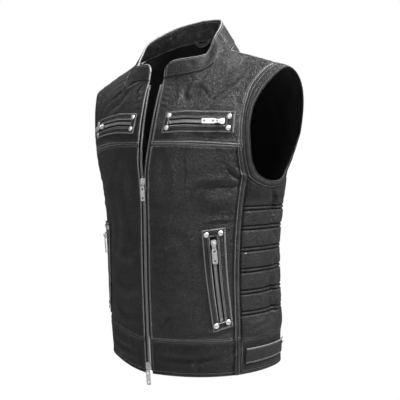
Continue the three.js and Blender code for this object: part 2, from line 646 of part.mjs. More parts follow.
// The band that binds each armhole: a closed loop from the shoulder down the front, under the
// arm and up the back.
function armholeStations() {
  const heights = [...UPPER_ROWS.slice(1).reverse().map((t) => mix(CHEST_SEAM_H, SHOULDER_RISE, t)),
    ...BODY_ROWS.slice(BODY_ROWS.indexOf(UNDERARM_SEAM_H)).reverse()];
  const scale = (SHOULDER_RISE - ARMHOLE_BOTTOM.edgeStart) / (SHOULDER_RISE - UNDERARM_SEAM_H);
  const edgeHeight = (h) => SHOULDER_RISE - (SHOULDER_RISE - h) * scale;
  const column = (h, side) => {
    const edgeH = edgeHeight(h);
    const word = side < 0 ? 'Front' : 'Back';
    const seamShare = smooth(ARMHOLE, 'h', `seam${word}`, h);
    const edgeShare = smooth(ARMHOLE, 'h', `edge${word}`, edgeH);
    return {
      seam: { turn: turnOfShare(seamShare, h, side), h },
      edge: { turn: turnOfShare(edgeShare, edgeH, side), h: edgeH },
    };
  };
  const front = heights.map((h) => column(h, -1));
  const back = heights.slice(1).reverse().map((h) => column(h, 1));
  const first = front[front.length - 1].edge;
  const final = back[0].edge;
  const under = FLANK_COLUMNS.slice(1, -1).map((u) => ({
    seam: underarmSeam(u),
    edge: {
      turn: mix(first.turn, final.turn, u),
      h: mix(ARMHOLE_BOTTOM.edge, ARMHOLE_BOTTOM.edgeStart, Math.abs(2 * u - 1) ** 2.2),
    },
  }));
  return [...front, ...under, ...back];
}

function armholeRows(sign) {
  const stations = armholeStations();
  return [0, 0.55, 1].map((w) => stations.map((station) => {
    const h = mix(station.seam.h, station.edge.h, w);
    return flank(mix(station.seam.turn, station.edge.turn, w), h, sign);
  }));
}

for (const [word, sign] of [['left', 1], ['right', -1]]) {
  const bandRise = (i, j) => [0.4, 0.9, 0.2][j];
  addBinding(`armhole_band_${word}`,
    wall(armholeRows(sign), { outer: bandRise, inner: -BAND_LEATHER + 0.4, ring: true }));
}

// The standing collar, a doubled strip sewn to the neck seam, with rounded front corners.
const COLLAR_STATIONS = [0, 0.08, 0.16, 0.24, 0.32, 0.39, 0.45, 0.5, 0.55, 0.61, 0.68, 0.75, 0.82, 0.89, 0.94,
  0.975, 1];

function collarRows() {
  const shares = [...COLLAR_STATIONS.slice(1).reverse().map((t) => -t), ...COLLAR_STATIONS];
  const at = (share, rise) => {
    const height = smooth(COLLAR_CORNER, 't', 'height', Math.abs(share));
    const foot = neckSeam(share);
    const top = collarTop(share);
    return foot.lerp(top, rise * height);
  };
  return [0.044, 0.35, 0.7, 0.92, 1].map((rise) => shares.map((share) => {
    const p = at(share, rise);
    const side = Math.min(0.985, Math.abs(share)) * Math.sign(share);
    const along = at(side + 0.01, 0.3).sub(at(side - 0.01, 0.3));
    const upwards = collarTop(share).sub(neckSeam(share));
    const n = new THREE.Vector3().crossVectors(along, upwards).normalize();
    if (n.dot(new THREE.Vector3(p.x, p.y + 10, 0)) < 0) n.negate();
    return { p, n };
  }));
}

const collarHalf = (i, j) => (j === 4 ? 0.45 : 0.5) * COLLAR_LEATHER;
addLeather('collar', wall(collarRows(), {
  outer: collarHalf, inner: (i, j) => -collarHalf(i, j), inset: false,
}));

// The main zip: one tape on each front edge, with its row of teeth at the free edge.
const TAPE_ROWS = [-360, -320, -270, -220, -170, -120, -80, -45, -22, 0, 18, 38, 60, 85, 110, 135, 158];

function tapeRows(sign) {
  return TAPE_ROWS.map((h) => {
    const edge = smooth(FRONT_OPENING, 'h', sign > 0 ? 'left' : 'right', h);
    const teeth = edge - 4.4 + 0.35;
    const offsets = [teeth, teeth + TAPE.teethWidth, teeth + TAPE.teethWidth + 0.3, teeth + TAPE.width];
    const topShare = sign * frontEdgeShare(FRONT_NECK[0].h, sign);
    const topPlace = place(topShare, FRONT_NECK[0].h, -1);
    return offsets.map((x) => drawToNeck(
      place(sign * x / halfWidthAt(h), h, -1), topPlace, 0, h, FRONT_NECK[0].h, FRONT_NECK, sign));
  });
}

for (const [word, sign] of [['left', 1], ['right', -1]]) {
  const under = -HEM_LEATHER - SEAT - 0.4;
  const teethTop = (i) => (i < 2 ? under + TAPE.teethRise : under);
  addTape(`zip_tape_${word}`,
    wall(tapeRows(sign), { outer: teethTop, inner: under - TAPE.thick, inset: false }));
}

// A frame at a place: x along the zip towards the tab's tip, z out of the vest.
function frameAt(origin, tip, n) {
  const x = tip.clone().sub(origin).normalize();
  const y = new THREE.Vector3().crossVectors(n, x).normalize();
  const z = new THREE.Vector3().crossVectors(x, y).normalize();
  return new THREE.Matrix4().makeBasis(x, y, z).setPosition(origin);
}

function toSolid(geometry) {
  const source = geometry.index ? geometry.toNonIndexed() : geometry;
  const position = source.getAttribute('position');
  const seen = new Map();
  const vertices = [];
  const triangles = [];
  for (let k = 0; k < position.count; k += 1) {
    const values = [position.getX(k), position.getY(k), position.getZ(k)];
    const key = values.map((v) => Math.round(v * 1e4)).join(' ');
    if (!seen.has(key)) {
      seen.set(key, vertices.length / 3);
      vertices.push(...values);
    }
    triangles.push(seen.get(key));
  }
  return new wasm.Manifold(new wasm.Mesh({
    numProp: 3,
    vertProperties: new Float32Array(vertices),
    triVerts: new Uint32Array(triangles),
  }));
}

function fromSolid(solid) {
  const mesh = solid.getMesh();
  const geometry = new THREE.BufferGeometry();
  const positions = new THREE.Float32BufferAttribute(mesh.vertProperties, 3);
  geometry.setAttribute('position', positions);
  geometry.setIndex(Array.from(mesh.triVerts));
  geometry.computeVertexNormals();
  return geometry;
}

// A slider: a flat shield with a small bridge that holds the pull tab. x runs along the zip.
function sliderGeometry() {
  const half = SLIDER.length / 2;
  const wide = SLIDER.width / 2;
  const shield = new THREE.Shape([
    new THREE.Vector2(-half, -wide + 1.5), new THREE.Vector2(-half + 1.6, -wide),
    new THREE.Vector2(-half + 6, -wide), new THREE.Vector2(half, -wide + 2),
    new THREE.Vector2(half, wide - 2), new THREE.Vector2(-half + 6, wide),
    new THREE.Vector2(-half + 1.6, wide), new THREE.Vector2(-half, wide - 1.5),
  ]);
  const body = new THREE.ExtrudeGeometry(shield, {
    depth: SLIDER.thick - 0.8, bevelEnabled: true, bevelThickness: 0.4, bevelSize: 0.4,
    bevelOffset: -0.4, bevelSegments: 1,
  });
  body.translate(0, 0, 0.4);
  const foot = -0.6;
  const long = BRIDGE.length / 2;
  const high = SLIDER.clear + SLIDER.bridgeBar;
  const arch = new THREE.Shape([
    new THREE.Vector2(-long, foot), new THREE.Vector2(-long + BRIDGE.post, foot),
    new THREE.Vector2(-long + BRIDGE.post, SLIDER.clear),
    new THREE.Vector2(long - BRIDGE.post, SLIDER.clear),
    new THREE.Vector2(long - BRIDGE.post, foot), new THREE.Vector2(long, foot),
    new THREE.Vector2(long, high - 0.8), new THREE.Vector2(long - 0.8, high),
    new THREE.Vector2(-long + 0.8, high), new THREE.Vector2(-long, high - 0.8),
  ]);
  const bridge = new THREE.ExtrudeGeometry(arch, { depth: SLIDER.bridgeWidth, bevelEnabled: false });
  bridge.rotateX(Math.PI / 2);
  bridge.translate(0, SLIDER.bridgeWidth / 2, SLIDER.thick);
  return fromSolid(toSolid(body).add(toSolid(bridge)));
}

// A pull tab: its eye's end bar lies under the bridge, centred on the origin; x runs to the tip.
function tabGeometry() {
  const start = -TAB.bar / 2;
  const end = start + TAB.length;
  const neck = TAB.neck / 2;
  const wide = TAB.width / 2;
  const outline = new THREE.Shape([
    new THREE.Vector2(start, -neck + 1), new THREE.Vector2(start + 1, -neck),
    new THREE.Vector2(start + 9, -neck), new THREE.Vector2(start + 13, -wide),
    new THREE.Vector2(end - 2, -wide), new THREE.Vector2(end, -wide + 2),
    new THREE.Vector2(end, wide - 2), new THREE.Vector2(end - 2, wide),
    new THREE.Vector2(start + 13, wide), new THREE.Vector2(start + 9, neck),
    new THREE.Vector2(start + 1, neck), new THREE.Vector2(start, neck - 1),
  ]);
  const eye = new THREE.Path([
    new THREE.Vector2(TAB.bar / 2, -TAB.eyeWidth / 2),
    new THREE.Vector2(TAB.bar / 2, TAB.eyeWidth / 2),
    new THREE.Vector2(TAB.bar / 2 + TAB.eyeLength, TAB.eyeWidth / 2),
    new THREE.Vector2(TAB.bar / 2 + TAB.eyeLength, -TAB.eyeWidth / 2),
  ]);
  const round = (x, radius) => {
    const hole = new THREE.Path();
    hole.absarc(x, 0, radius, 0, Math.PI * 2, true);
    return hole;
  };
  outline.holes.push(eye, round(start + 14.5, 2), round(end - 5, 1.7));
  const tab = new THREE.ExtrudeGeometry(outline, {
    depth: TAB.thick, bevelEnabled: false, curveSegments: 8,
  });
  tab.translate(0, 0, -TAB.thick / 2);
  return fromSolid(toSolid(tab));
}

// A slider and its tab on a zip. Lift is the height of the slider's underside above the leather.
function addSlider(name, q, tip, lift) {
  const frame = frameAt(q.p, tip.p, q.n);
  const up = new THREE.Vector3().setFromMatrixColumn(frame, 2);
  const out = new THREE.Matrix4().makeTranslation(up.x * lift, up.y * lift, up.z * lift);
  const seated = out.multiply(frame);
  addMetal(`${name}_slider`, sliderGeometry().applyMatrix4(seated));
  const axleHeight = SLIDER.thick + SLIDER.clear / 2;
  const tilt = new THREE.Matrix4().makeRotationY(TAB_TILT * Math.PI / 180);
  const raise = new THREE.Matrix4().makeTranslation(0, 0, axleHeight);
  const placed = seated.clone().multiply(raise).multiply(tilt);
  const tab = addMetal(`${name}_tab`, tabGeometry().applyMatrix4(placed));
  const axle = new THREE.Vector3().setFromMatrixPosition(placed);
  const cross = new THREE.Vector3().setFromMatrixColumn(placed, 1);
  tab.userData.axle = { at: axle.toArray(), along: cross.negate().toArray() };
}

const mainTop = UNDERARM_Z + MAIN_SLIDER_H;
addSlider('main_zip', place(0, MAIN_SLIDER_H, -1), place(0, MAIN_SLIDER_H - 26, -1), 0.3);
addSlider('lower_zip', place(0, LOWER_SLIDER_H, -1), place(0, LOWER_SLIDER_H - 26, -1), 0.3);

// Riveted patches with a zip in their slot.
function patchPlace(patch, along, across) {
  const [a, b, c, d] = patch.corners;
  const s = mix(mix(a[0], b[0], along), mix(d[0], c[0], along), across);
  const h = mix(mix(a[1], b[1], along), mix(d[1], c[1], along), across);
  return place(patch.sign * s, h, -1);
}

function shares(cuts, count) {
  const list = [];
  for (let k = 0; k < cuts.length - 1; k += 1) {
    const steps = Math.max(1, Math.round((cuts[k + 1] - cuts[k]) * count));
    for (let m = 0; m < steps; m += 1) list.push(mix(cuts[k], cuts[k + 1], m / steps));
  }
  return [...list, 1];
}

function addPatch(patch) {
  const { slot } = patch;
  const alongs = shares([0, slot.from, slot.to, 1], patch.along);
  const acrosses = shares([0, slot.low, slot.high, 1], patch.across);
  const rows = acrosses.map((v) => alongs.map((u) => patchPlace(patch, u, v)));
  const inSlot = (i, j) => alongs[i] > slot.from - 1e-6 && alongs[i + 1] < slot.to + 1e-6
    && acrosses[j] > slot.low - 1e-6 && acrosses[j + 1] < slot.high + 1e-6;
  const seat = SEAT + 0.1;
  addLeather(patch.name, wall(rows, {
    outer: seat + PATCH_LEATHER, inner: seat, hole: inSlot, inset: false,
  }));
  const margin = 0.012;
  const stripAlongs = shares([0, 1], 10).map((u) => mix(slot.from + margin / 2, slot.to - margin / 2, u));
  const teethLow = mix(slot.low, slot.high, 0.38);
  const teethHigh = mix(slot.low, slot.high, 0.62);
  const stripAcrosses = [slot.low + margin * 2, teethLow, teethHigh, slot.high - margin * 2];
  const strip = stripAcrosses.map((v) => stripAlongs.map((u) => patchPlace(patch, u, v)));
  const stripTop = (i, j) => (j === 1 || j === 2 ? seat + 1.9 : seat + 0.8);
  addTape(`${patch.name}_zip`, wall(strip, { outer: stripTop, inner: seat, inset: false }));
  const middle = (slot.low + slot.high) / 2;
  const towards = patchPlace(patch, patch.pull, middle);
  addSlider(patch.name, patchPlace(patch, patch.slider, middle), towards, seat + 1.9 + 0.8);
  patch.rivets.forEach(([u, v], k) => {
    const q = patchPlace(patch, u, v);
    addMetal(`${patch.name}_rivet_${k + 1}`, dome(RIVET, q, seat + PATCH_LEATHER + SEAT));
  });
}

// A domed rivet or snap cap, turned about its own axis.
function dome(size, q, lift) {
  const r = size.radius;
  const profile = [[0, 0], [r, 0], [r * 0.96, size.rise * 0.35], [r * 0.66, size.rise * 0.82],
    [0, size.rise]];
  const turned = new THREE.LatheGeometry(profile.map(([x, y]) => new THREE.Vector2(x, y)), 10);
  turned.rotateX(Math.PI / 2);
  const solid = fromSolid(toSolid(withoutSlivers(turned)));
  const turn = new THREE.Quaternion().setFromUnitVectors(new THREE.Vector3(0, 0, 1), q.n);
  const seat = q.p.clone().addScaledVector(q.n, lift);
  return solid.applyMatrix4(new THREE.Matrix4().compose(seat, turn, new THREE.Vector3(1, 1, 1)));
}

// A turned shape without the empty triangles that lie on its axis.
function withoutSlivers(geometry) {
  const source = geometry.toNonIndexed();
  const position = source.getAttribute('position');
  const kept = [];
  for (let k = 0; k < position.count; k += 3) {
    const [a, b, c] = [0, 1, 2].map((m) => new THREE.Vector3().fromBufferAttribute(position, k + m));
    const area = b.clone().sub(a).cross(c.clone().sub(a)).length();
    if (area > 1e-6) kept.push(...a.toArray(), ...b.toArray(), ...c.toArray());
  }
  const clean = new THREE.BufferGeometry();
  clean.setAttribute('position', new THREE.Float32BufferAttribute(kept, 3));
  return clean;
}

[CHEST_LEFT, CHEST_RIGHT, LOWER_LEFT, LOWER_RIGHT].forEach(addPatch);

// The adjusting straps on the sides of the hem. The upper edge stands away from the band.
for (const [word, sign] of [['left', 1], ['right', -1]]) {
  const rows = [0, 0.5, 1].map((v) => shares([0, 1], 10).map((u) => flank(
    mix(STRAP.front, STRAP.back, u), mix(STRAP.bottom, STRAP.top, v), sign)));
  const stand = (i, j) => SEAT + 0.2 + [0, 0.6, STRAP.flare][j];
  addBinding(`side_strap_${word}`,
    wall(rows, { outer: (i, j) => stand(i, j) + STRAP.thick, inner: stand, inset: false }));
  const middle = (STRAP.top + STRAP.bottom) / 2;
  const q = flank(STRAP.back + 0.035, middle + 6, sign);
  addMetal(`strap_snap_${word}`, dome(SNAP, q, stand(0, 1) + STRAP.thick + 1.7));
}

// The hanger loop inside the back of the neck, a narrow strip bowed away from the collar.
function hangerRows() {
  return [0, 0.25, 0.5, 0.75, 1].map((a) => {
    const across = a * 2 - 1;
    const bow = 1 - across * across;
    const seam = neckSeam(0.0001 + Math.abs(across) * 0.09);
    const x = across * HANGER.half;
    const y = seam.y - HANGER.gap - HANGER.reach * bow;
    const z = seam.z - 2 - HANGER.drop * bow;
    const n = new THREE.Vector3(0, -1, 0);
    return [0, 1].map((v) => ({ p: new THREE.Vector3(x, y, z + v * HANGER.width), n }));
  });
}

addBinding('hanger_loop', wall(hangerRows(), { outer: HANGER.thick, inner: 0, inset: false }));

export default vest;
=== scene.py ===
import math
from itertools import product

import bpy
import numpy as np
from mathutils import Matrix, Quaternion, Vector


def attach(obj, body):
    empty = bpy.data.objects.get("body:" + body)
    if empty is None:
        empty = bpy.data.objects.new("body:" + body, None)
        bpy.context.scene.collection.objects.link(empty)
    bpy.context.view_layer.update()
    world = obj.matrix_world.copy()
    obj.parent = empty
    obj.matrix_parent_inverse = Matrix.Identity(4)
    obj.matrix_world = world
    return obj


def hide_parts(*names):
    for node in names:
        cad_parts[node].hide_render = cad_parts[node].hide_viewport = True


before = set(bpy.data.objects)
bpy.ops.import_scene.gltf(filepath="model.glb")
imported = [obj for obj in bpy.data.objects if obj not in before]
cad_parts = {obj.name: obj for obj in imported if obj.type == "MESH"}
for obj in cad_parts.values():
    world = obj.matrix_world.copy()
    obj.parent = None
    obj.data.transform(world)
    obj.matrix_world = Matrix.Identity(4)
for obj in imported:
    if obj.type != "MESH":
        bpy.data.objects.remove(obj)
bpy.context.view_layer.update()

# Camera, light and floor
# A long lens at chest height looks at the vest from its left front, a little rolled.
# Soft boxes stand at the right, the left and behind, and a pale floor lies well below the hem.
VIEW = {"azimuth": 36.9, "elevation": 1.06, "distance": 1.485, "roll": 1.74, "lens": 67.1}
AIM = Vector((0, 0, -0.29))
AIM_ASIDE = 0.0151
AIM_UP = 0.0044
FLOOR_Z = -1.6

azimuth = math.radians(VIEW["azimuth"])
elevation = math.radians(VIEW["elevation"])
to_camera = Vector((
    math.sin(azimuth) * math.cos(elevation),
    -math.cos(azimuth) * math.cos(elevation),
    math.sin(elevation),
))
to_right = Vector((math.cos(azimuth), math.sin(azimuth), 0))
camera_place = AIM + to_camera * VIEW["distance"]
look_at = AIM + to_right * AIM_ASIDE + Vector((0, 0, AIM_UP))
camera = bpy.data.objects.new("camera", bpy.data.cameras.new("camera"))
camera.data.lens = VIEW["lens"]
camera.data.sensor_width = 36
camera.location = camera_place
camera.rotation_mode = "QUATERNION"
straight = (camera_place - look_at).to_track_quat("Z", "Y")
camera.rotation_quaternion = straight @ Quaternion((0, 0, 1), -math.radians(VIEW["roll"]))
bpy.context.scene.collection.objects.link(camera)
bpy.context.scene.camera = camera
bpy.context.scene.view_settings.view_transform = "Standard"


def soft_box(name, aside, near, up, size, watts):
    """A square studio light turned to the vest, placed as the camera sees it, in metres."""
    lamp = bpy.data.lights.new(name, "AREA")
    lamp.shape = "SQUARE"
    lamp.size = size
    lamp.energy = watts
    box = bpy.data.objects.new(name, lamp)
    box.location = AIM + to_right * aside + to_camera * near + Vector((0, 0, up))
    box.rotation_euler = (box.location - AIM).to_track_quat("Z", "Y").to_euler()
    bpy.context.scene.collection.objects.link(box)


soft_box("key_light", aside=1.25, near=0.5, up=1.95, size=0.7, watts=134)
soft_box("fill_light", aside=-0.9, near=2.0, up=0.7, size=0.9, watts=16)
soft_box("left_light", aside=-1.9, near=0.6, up=0.1, size=1.4, watts=1.5)
soft_box("side_light", aside=2.1, near=0.1, up=0.5, size=0.6, watts=4.5)
soft_box("rim_light", aside=-1.0, near=-1.0, up=1.9, size=0.6, watts=10)

# A white studio: it shows white behind the vest and lights it softly
SOFT_STRENGTH = 0.21
studio = bpy.data.worlds.new("studio")
studio.use_nodes = True
sky = studio.node_tree
ray = sky.nodes.new("ShaderNodeLightPath")
choose = sky.nodes.new("ShaderNodeMixShader")
sky.links.new(ray.outputs["Is Camera Ray"], choose.inputs["Fac"])
seen = sky.nodes["Background"]
soft = sky.nodes.new("ShaderNodeBackground")
for white, strength, socket in ((soft, SOFT_STRENGTH, 1), (seen, 1.0, 2)):
    white.inputs["Color"].default_value = (1, 1, 1, 1)
    white.inputs["Strength"].default_value = strength
    sky.links.new(white.outputs["Background"], choose.inputs[socket])
sky.links.new(choose.outputs["Shader"], sky.nodes["World Output"].inputs["Surface"])
bpy.context.scene.world = studio

FLOOR_HALF = 2.2
floor_mesh = bpy.data.meshes.new("floor")
floor_corners = [(x * FLOOR_HALF, y * FLOOR_HALF, FLOOR_Z)
                 for x, y in ((-1, -1), (1, -1), (1, 1), (-1, 1))]
floor_mesh.from_pydata(floor_corners, [], [(0, 1, 2, 3)])
floor = bpy.data.objects.new("floor", floor_mesh)
floor_paint = bpy.data.materials.new("pale_floor")
floor_paint.use_nodes = True
floor_shader = floor_paint.node_tree.nodes["Principled BSDF"]
floor_shader.inputs["Base Color"].default_value = (0.87, 0.87, 0.87, 1)
floor_shader.inputs["Roughness"].default_value = 0.85
floor_mesh.materials.append(floor_paint)
bpy.context.scene.collection.objects.link(floor)

# Back
# One piece of distressed black cowhide, 2 mm thick with its lining, from the hem band to the
# shoulder seams and the collar. It is the first piece, so the worn form that all share is here.
MM = 0.001
LEATHER = 2.0
UNDERARM_Z = -235
SHOULDER_RISE = 235
SHOULDER_REACH = 252.6
HEM_H = -365
HEM_SEAM_H = -302
CHEST_SEAM_H = 52
UNDERARM_SEAM_H = -10
MIDDLE_Y = 2

# Level rings of the worn form, in millimetres
SECTIONS = {
    "z": [-600, -535, -440, -360, -290, -235],
    "half_width": [168, 171, 171.5, 175.5, 184.5, 194.5],
    "front": [149, 151, 152, 150.5, 149, 149],
    "back": [118, 116, 114, 115, 119, 123.5],
}
# How square the rings are in front and behind, and how the back grows squarer up to its shoulder
RING_POWER = {"front": 2.25, "back": 2.5, "back_grows_by": 0.4}
# The shoulders, by share of the half width: the ridge from the neck to the arm, the rise of the
# leather beside the neck, and the fall of the ridge
RIDGE = {"from": 0.36, "reach": 0.57, "y": (-21, -9), "fall": 50}
NECK_RISE = {"front": 20, "front_reach": 0.5, "back": 85, "back_reach": 0.43}
# How much higher the right side sits, by height above the underarm, and how far in that fades
LIFT_REACH = 120
RIGHT_SIDE_LIFT = {
    "h": [-365, -302, -100, 52, 130, 205, 235],
    "lift": [18, 18, 12, 9, 8, 0, 0],
}
# Side seams and armhole seams, as shares of the half width
SIDE_SEAM = {"h": [-365, -302, -60, -10], "front": [0.9, 0.903, 0.906, 0.912],
             "back": [0.9, 0.9, 0.917, 0.933]}
ARMHOLE = {
    "h": [-10, 24, 66, 106, 140, 172, 207, 235],
    "edge_front": [0.966, 0.922, 0.886, 0.854, 0.843, 0.855, 0.884, 0.915],
    "seam_front": [0.912, 0.876, 0.838, 0.806, 0.788, 0.78, 0.798, 0.83],
    "edge_back": [0.98, 0.963, 0.952, 0.945, 0.942, 0.938, 0.93, 0.915],
    "seam_back": [0.933, 0.912, 0.89, 0.875, 0.868, 0.862, 0.848, 0.83],
}
# The neck seam and the collar's upper edge, from the middle of the back to the middle of the front
COLLAR = {
    "t": [0, 0.25, 0.38, 0.5, 0.75, 1],
    "x": [0, 60, 93, 112, 88, 14],
    "y": [57, 51, 26, -20, -76, -96.5],
    "z": [38, 33, 18, -4.5, -47, -54],
    "top_x": [0, 50, 73, 86, 81, 15],
    "top_y": [55, 40, 12, -22, -57, -90],
    "top_z": [80, 72, 56, 32, -14, -21],
}
RIGHT_COLLAR_ASIDE = {"foot": 6, "top": 3}
BACK_NECK = {"u": [0, 0.17, 0.3, 0.4, 0.47, 0.524, 1], "h": [211, 211, 213, 217, 225, 235, 235]}
BACK_NECK_COLUMNS = [0, 0.12, 0.24, 0.34, 0.42, 0.48, 0.505, 0.524, 0.62, 1]
NECK_DRAW_FROM = 90
# The largest soft folds, each from one place to another: quarter turns from the middle of the
# front (left positive, 2 behind) and height, then the depth inwards and half the breadth
FOLDS = [
    (0.46, 200, 0.31, 122, 2.8, 9), (0.35, 196, 0.27, 128, -2.6, 14), (0.18, 162, 0.2, 118, 2, 11),
    (-0.14, 194, -0.31, 152, 2.8, 10), (-0.3, 196, -0.45, 160, -2.2, 12),
    (0.34, -22, 0.71, -26, 3.2, 11), (0.4, -46, 0.7, -48, -2.2, 11), (0.3, -66, 0.64, -72, 2.4, 11),
    (-0.32, -18, -0.7, -34, 2.8, 12), (-0.28, -70, -0.6, -78, 1.8, 12),
    (1, -22, 1.02, -120, 3, 11), (1.11, -24, 1.12, -118, -2.4, 12),
    (0.99, -172, 1.01, -296, 3, 12), (1.12, -178, 1.13, -292, -2.6, 13),
    (-0.98, -30, -1.02, -130, 2.8, 12), (-1.1, -30, -1.13, -126, -2.2, 12),
    (-1, -180, -0.97, -292, 2.8, 12), (0.06, -331, 0.56, -335, 2.2, 10),
    (-0.08, -336, -0.5, -332, 1.8, 10), (1.36, -6, 1.82, -46, 3.2, 15),
    (-1.36, -24, -1.76, -62, 3, 15), (1.4, -138, 1.96, -166, 3, 15),
    (-1.4, -152, -2.02, -178, 2.8, 15), (1.5, -208, 2.16, -238, 2.6, 15),
    (1.52, 168, 1.46, 70, 2.8, 16), (-1.54, 164, -1.44, 62, 3, 16), (1.98, 150, 2.02, 20, 2, 20),
]
QUARTER_TURN = 240
FULL_TURN = 4
# The folds fade where the leather is held
HELD = {"front": 0.7, "back": 1.32, "reach": 22, "chest": 52, "chest_reach": 16, "top": 222,
        "top_reach": 36}

SIDES = (("left", 1), ("right", -1))


def smooth(table, along, column, at):
    """A smooth curve through one column of a table, without overshoot."""
    x = np.array(table[along], float)
    y = np.array(table[column], float)
    step = np.diff(x)
    grade = np.diff(y) / step
    slope = np.concatenate([grade[:1], np.zeros(len(x) - 2), grade[-1:]])
    for k in range(1, len(x) - 1):
        if grade[k - 1] * grade[k] > 0:
            w1 = 2 * step[k] + step[k - 1]
            w2 = step[k] + 2 * step[k - 1]
            slope[k] = (w1 + w2) / (w1 / grade[k - 1] + w2 / grade[k])
    at = np.clip(at, x[0], x[-1])
    k = np.clip(np.searchsorted(x, at, side="right") - 1, 0, len(x) - 2)
    f = (at - x[k]) / step[k]
    rise = f * f * (3 - 2 * f)
    start_pull = f * (1 - f) ** 2 * step[k] * slope[k]
    end_pull = f * f * (1 - f) * step[k] * slope[k + 1]
    return y[k] * (1 - rise) + y[k + 1] * rise + start_pull - end_pull


def mix(a, b, share):
    return a + (b - a) * share


def clamp01(x):
    return np.clip(x, 0, 1)


def unit(v):
    return v / np.linalg.norm(v, axis=-1, keepdims=True)


def run_length(line):
    """How far along a line each of its places lies."""
    return np.concatenate([[0], np.cumsum(np.linalg.norm(np.diff(line, axis=0), axis=1))])


def half_width_at(h):
    ring = smooth(SECTIONS, "z", "half_width", UNDERARM_Z + np.minimum(h, 0))
    return mix(ring, SHOULDER_REACH, clamp01(h / SHOULDER_RISE))


def ring_power(h, side):
    if side < 0:
        return RING_POWER["front"] + 0 * h
    return RING_POWER["back"] + clamp01(h / SHOULDER_RISE / RING_POWER["back_grows_by"])


def fold_depth(turns, h):
    """How far the large folds press in the leather at a place of the worn form."""
    around = np.abs(turns)
    seam_gap = np.minimum(np.abs(around - HELD["front"]), np.abs(around - HELD["back"]))
    chest_gap = np.where(around < HELD["front"], np.abs(h - HELD["chest"]) / HELD["chest_reach"], 1)
    held = (clamp01(seam_gap * QUARTER_TURN / HELD["reach"]) * clamp01(chest_gap)
            * clamp01((HELD["top"] - h) / HELD["top_reach"]))
    depth = np.zeros(around.shape)
    for start, start_h, end, end_h, deep, half in FOLDS:
        apart = turns - start
        x = (apart - FULL_TURN * np.round(apart / FULL_TURN)) * QUARTER_TURN
        y = h - start_h
        way = np.array([(end - start) * QUARTER_TURN, end_h - start_h])
        t = (x * way[0] + y * way[1]) / (way ** 2).sum()
        aside = np.hypot(x - t * way[0], y - t * way[1])
        depth += deep * np.sin(np.pi * clamp01(t)) * np.exp(-(aside / half) ** 2)
    return depth * held


def body_point(s, h, side):
    """A place on the front (side -1) or the back (side 1): share of the half width, and height."""
    s, h = np.broadcast_arrays(np.asarray(s, float), np.asarray(h, float))
    share = np.minimum(1, np.abs(s))
    up = clamp01(h / SHOULDER_RISE)
    depth = smooth(SECTIONS, "z", "front" if side < 0 else "back", UNDERARM_Z + np.minimum(h, 0))
    power = ring_power(h, side)
    ring_y = MIDDLE_Y + side * depth * np.maximum(0, 1 - share ** power) ** (1 / power)
    curve_power, curve_root = (1.6, 0.62) if side < 0 else (3, 0.5)
    root = mix(curve_root, 0.5, clamp01((share - 0.55) / 0.35))
    hold = np.maximum(0, 1 - up ** curve_power) ** root
    along_ridge = (share - RIDGE["from"]) / RIDGE["reach"]
    ridge = mix(*RIDGE["y"], clamp01(along_ridge))
    if side < 0:
        near_neck = np.maximum(0, 1 - (share / NECK_RISE["front_reach"]) ** 2) ** 2
        hump = NECK_RISE["front"] * up * near_neck
    else:
        near_neck = np.maximum(0, 1 - (share / NECK_RISE["back_reach"]) ** 4)
        hump = NECK_RISE["back"] * up ** 3 * near_neck
    shoulder = -RIDGE["fall"] * np.maximum(0, along_ridge) ** 1.15
    x = s * half_width_at(h)
    z = UNDERARM_Z + np.where(h <= 0, h, up * (shoulder - UNDERARM_Z) + hump)
    aside = clamp01(-x / LIFT_REACH)
    lift = smooth(RIGHT_SIDE_LIFT, "h", "lift", h) * aside * aside * (3 - 2 * aside)
    y = mix(ridge, ring_y, hold)
    from_front = np.arcsin(share ** (power / 2)) * 2 / np.pi
    turns = np.where(s < 0, -1, 1) * (from_front if side < 0 else FULL_TURN / 2 - from_front)
    inwards = 1 - fold_depth(turns, h) / np.hypot(x, y - MIDDLE_Y)
    return np.stack([x * inwards, MIDDLE_Y + (y - MIDDLE_Y) * inwards, z + lift], axis=-1)


def front_at(s, h):
    return body_point(s, h, -1)


def back_at(s, h):
    return body_point(s, h, 1)


def outer_share(h, side):
    word = "front" if side < 0 else "back"
    low = smooth(SIDE_SEAM, "h", word, h)
    high = smooth(ARMHOLE, "h", "seam_" + word, h)
    return np.where(h <= UNDERARM_SEAM_H, low, high)


def neck_line(share, top=False):
    """The neck seam, or the collar's upper edge: share -1 to 1, 0 behind, positive on the left."""
    share = np.asarray(share, float)
    t = np.abs(share)
    word = "top_" if top else ""
    aside = RIGHT_COLLAR_ASIDE["top" if top else "foot"] * np.maximum(0, -share - 0.7) / 0.3
    x = smooth(COLLAR, "t", word + "x", t) * np.where(share < 0, -1, 1) - aside
    y = smooth(COLLAR, "t", word + "y", t)
    return np.stack([x, y, smooth(COLLAR, "t", word + "z", t)], axis=-1)


def neck_pull(columns, tops, first_t, sign):
    """How far each column's top place is from the neck seam. The two ends have set places."""
    neck = neck_line(sign * np.linspace(0, 1, 401))
    pulls = []
    ends = {0: first_t, max(c for c in columns if c < 0.53): 0.5}
    for u, top in zip(columns, tops):
        if u > max(ends):
            pulls.append(np.zeros(3))
        elif u in ends:
            pulls.append(neck_line(sign * ends[u]) - top)
        else:
            nearest = np.argmin(np.linalg.norm(neck - top, axis=1))
            pulls.append(neck[nearest] - top)
    return np.array(pulls)


def drawn_to_neck(p, u, h, top, columns, pulls):
    rise = clamp01((h - NECK_DRAW_FROM) / (top - NECK_DRAW_FROM)) ** 2
    table = {"u": columns, **{axis: pulls[:, k] for k, axis in enumerate("xyz")}}
    pull = np.stack([smooth(table, "u", axis, np.abs(u)) for axis in "xyz"], axis=-1)
    return p + pull * rise[..., None]


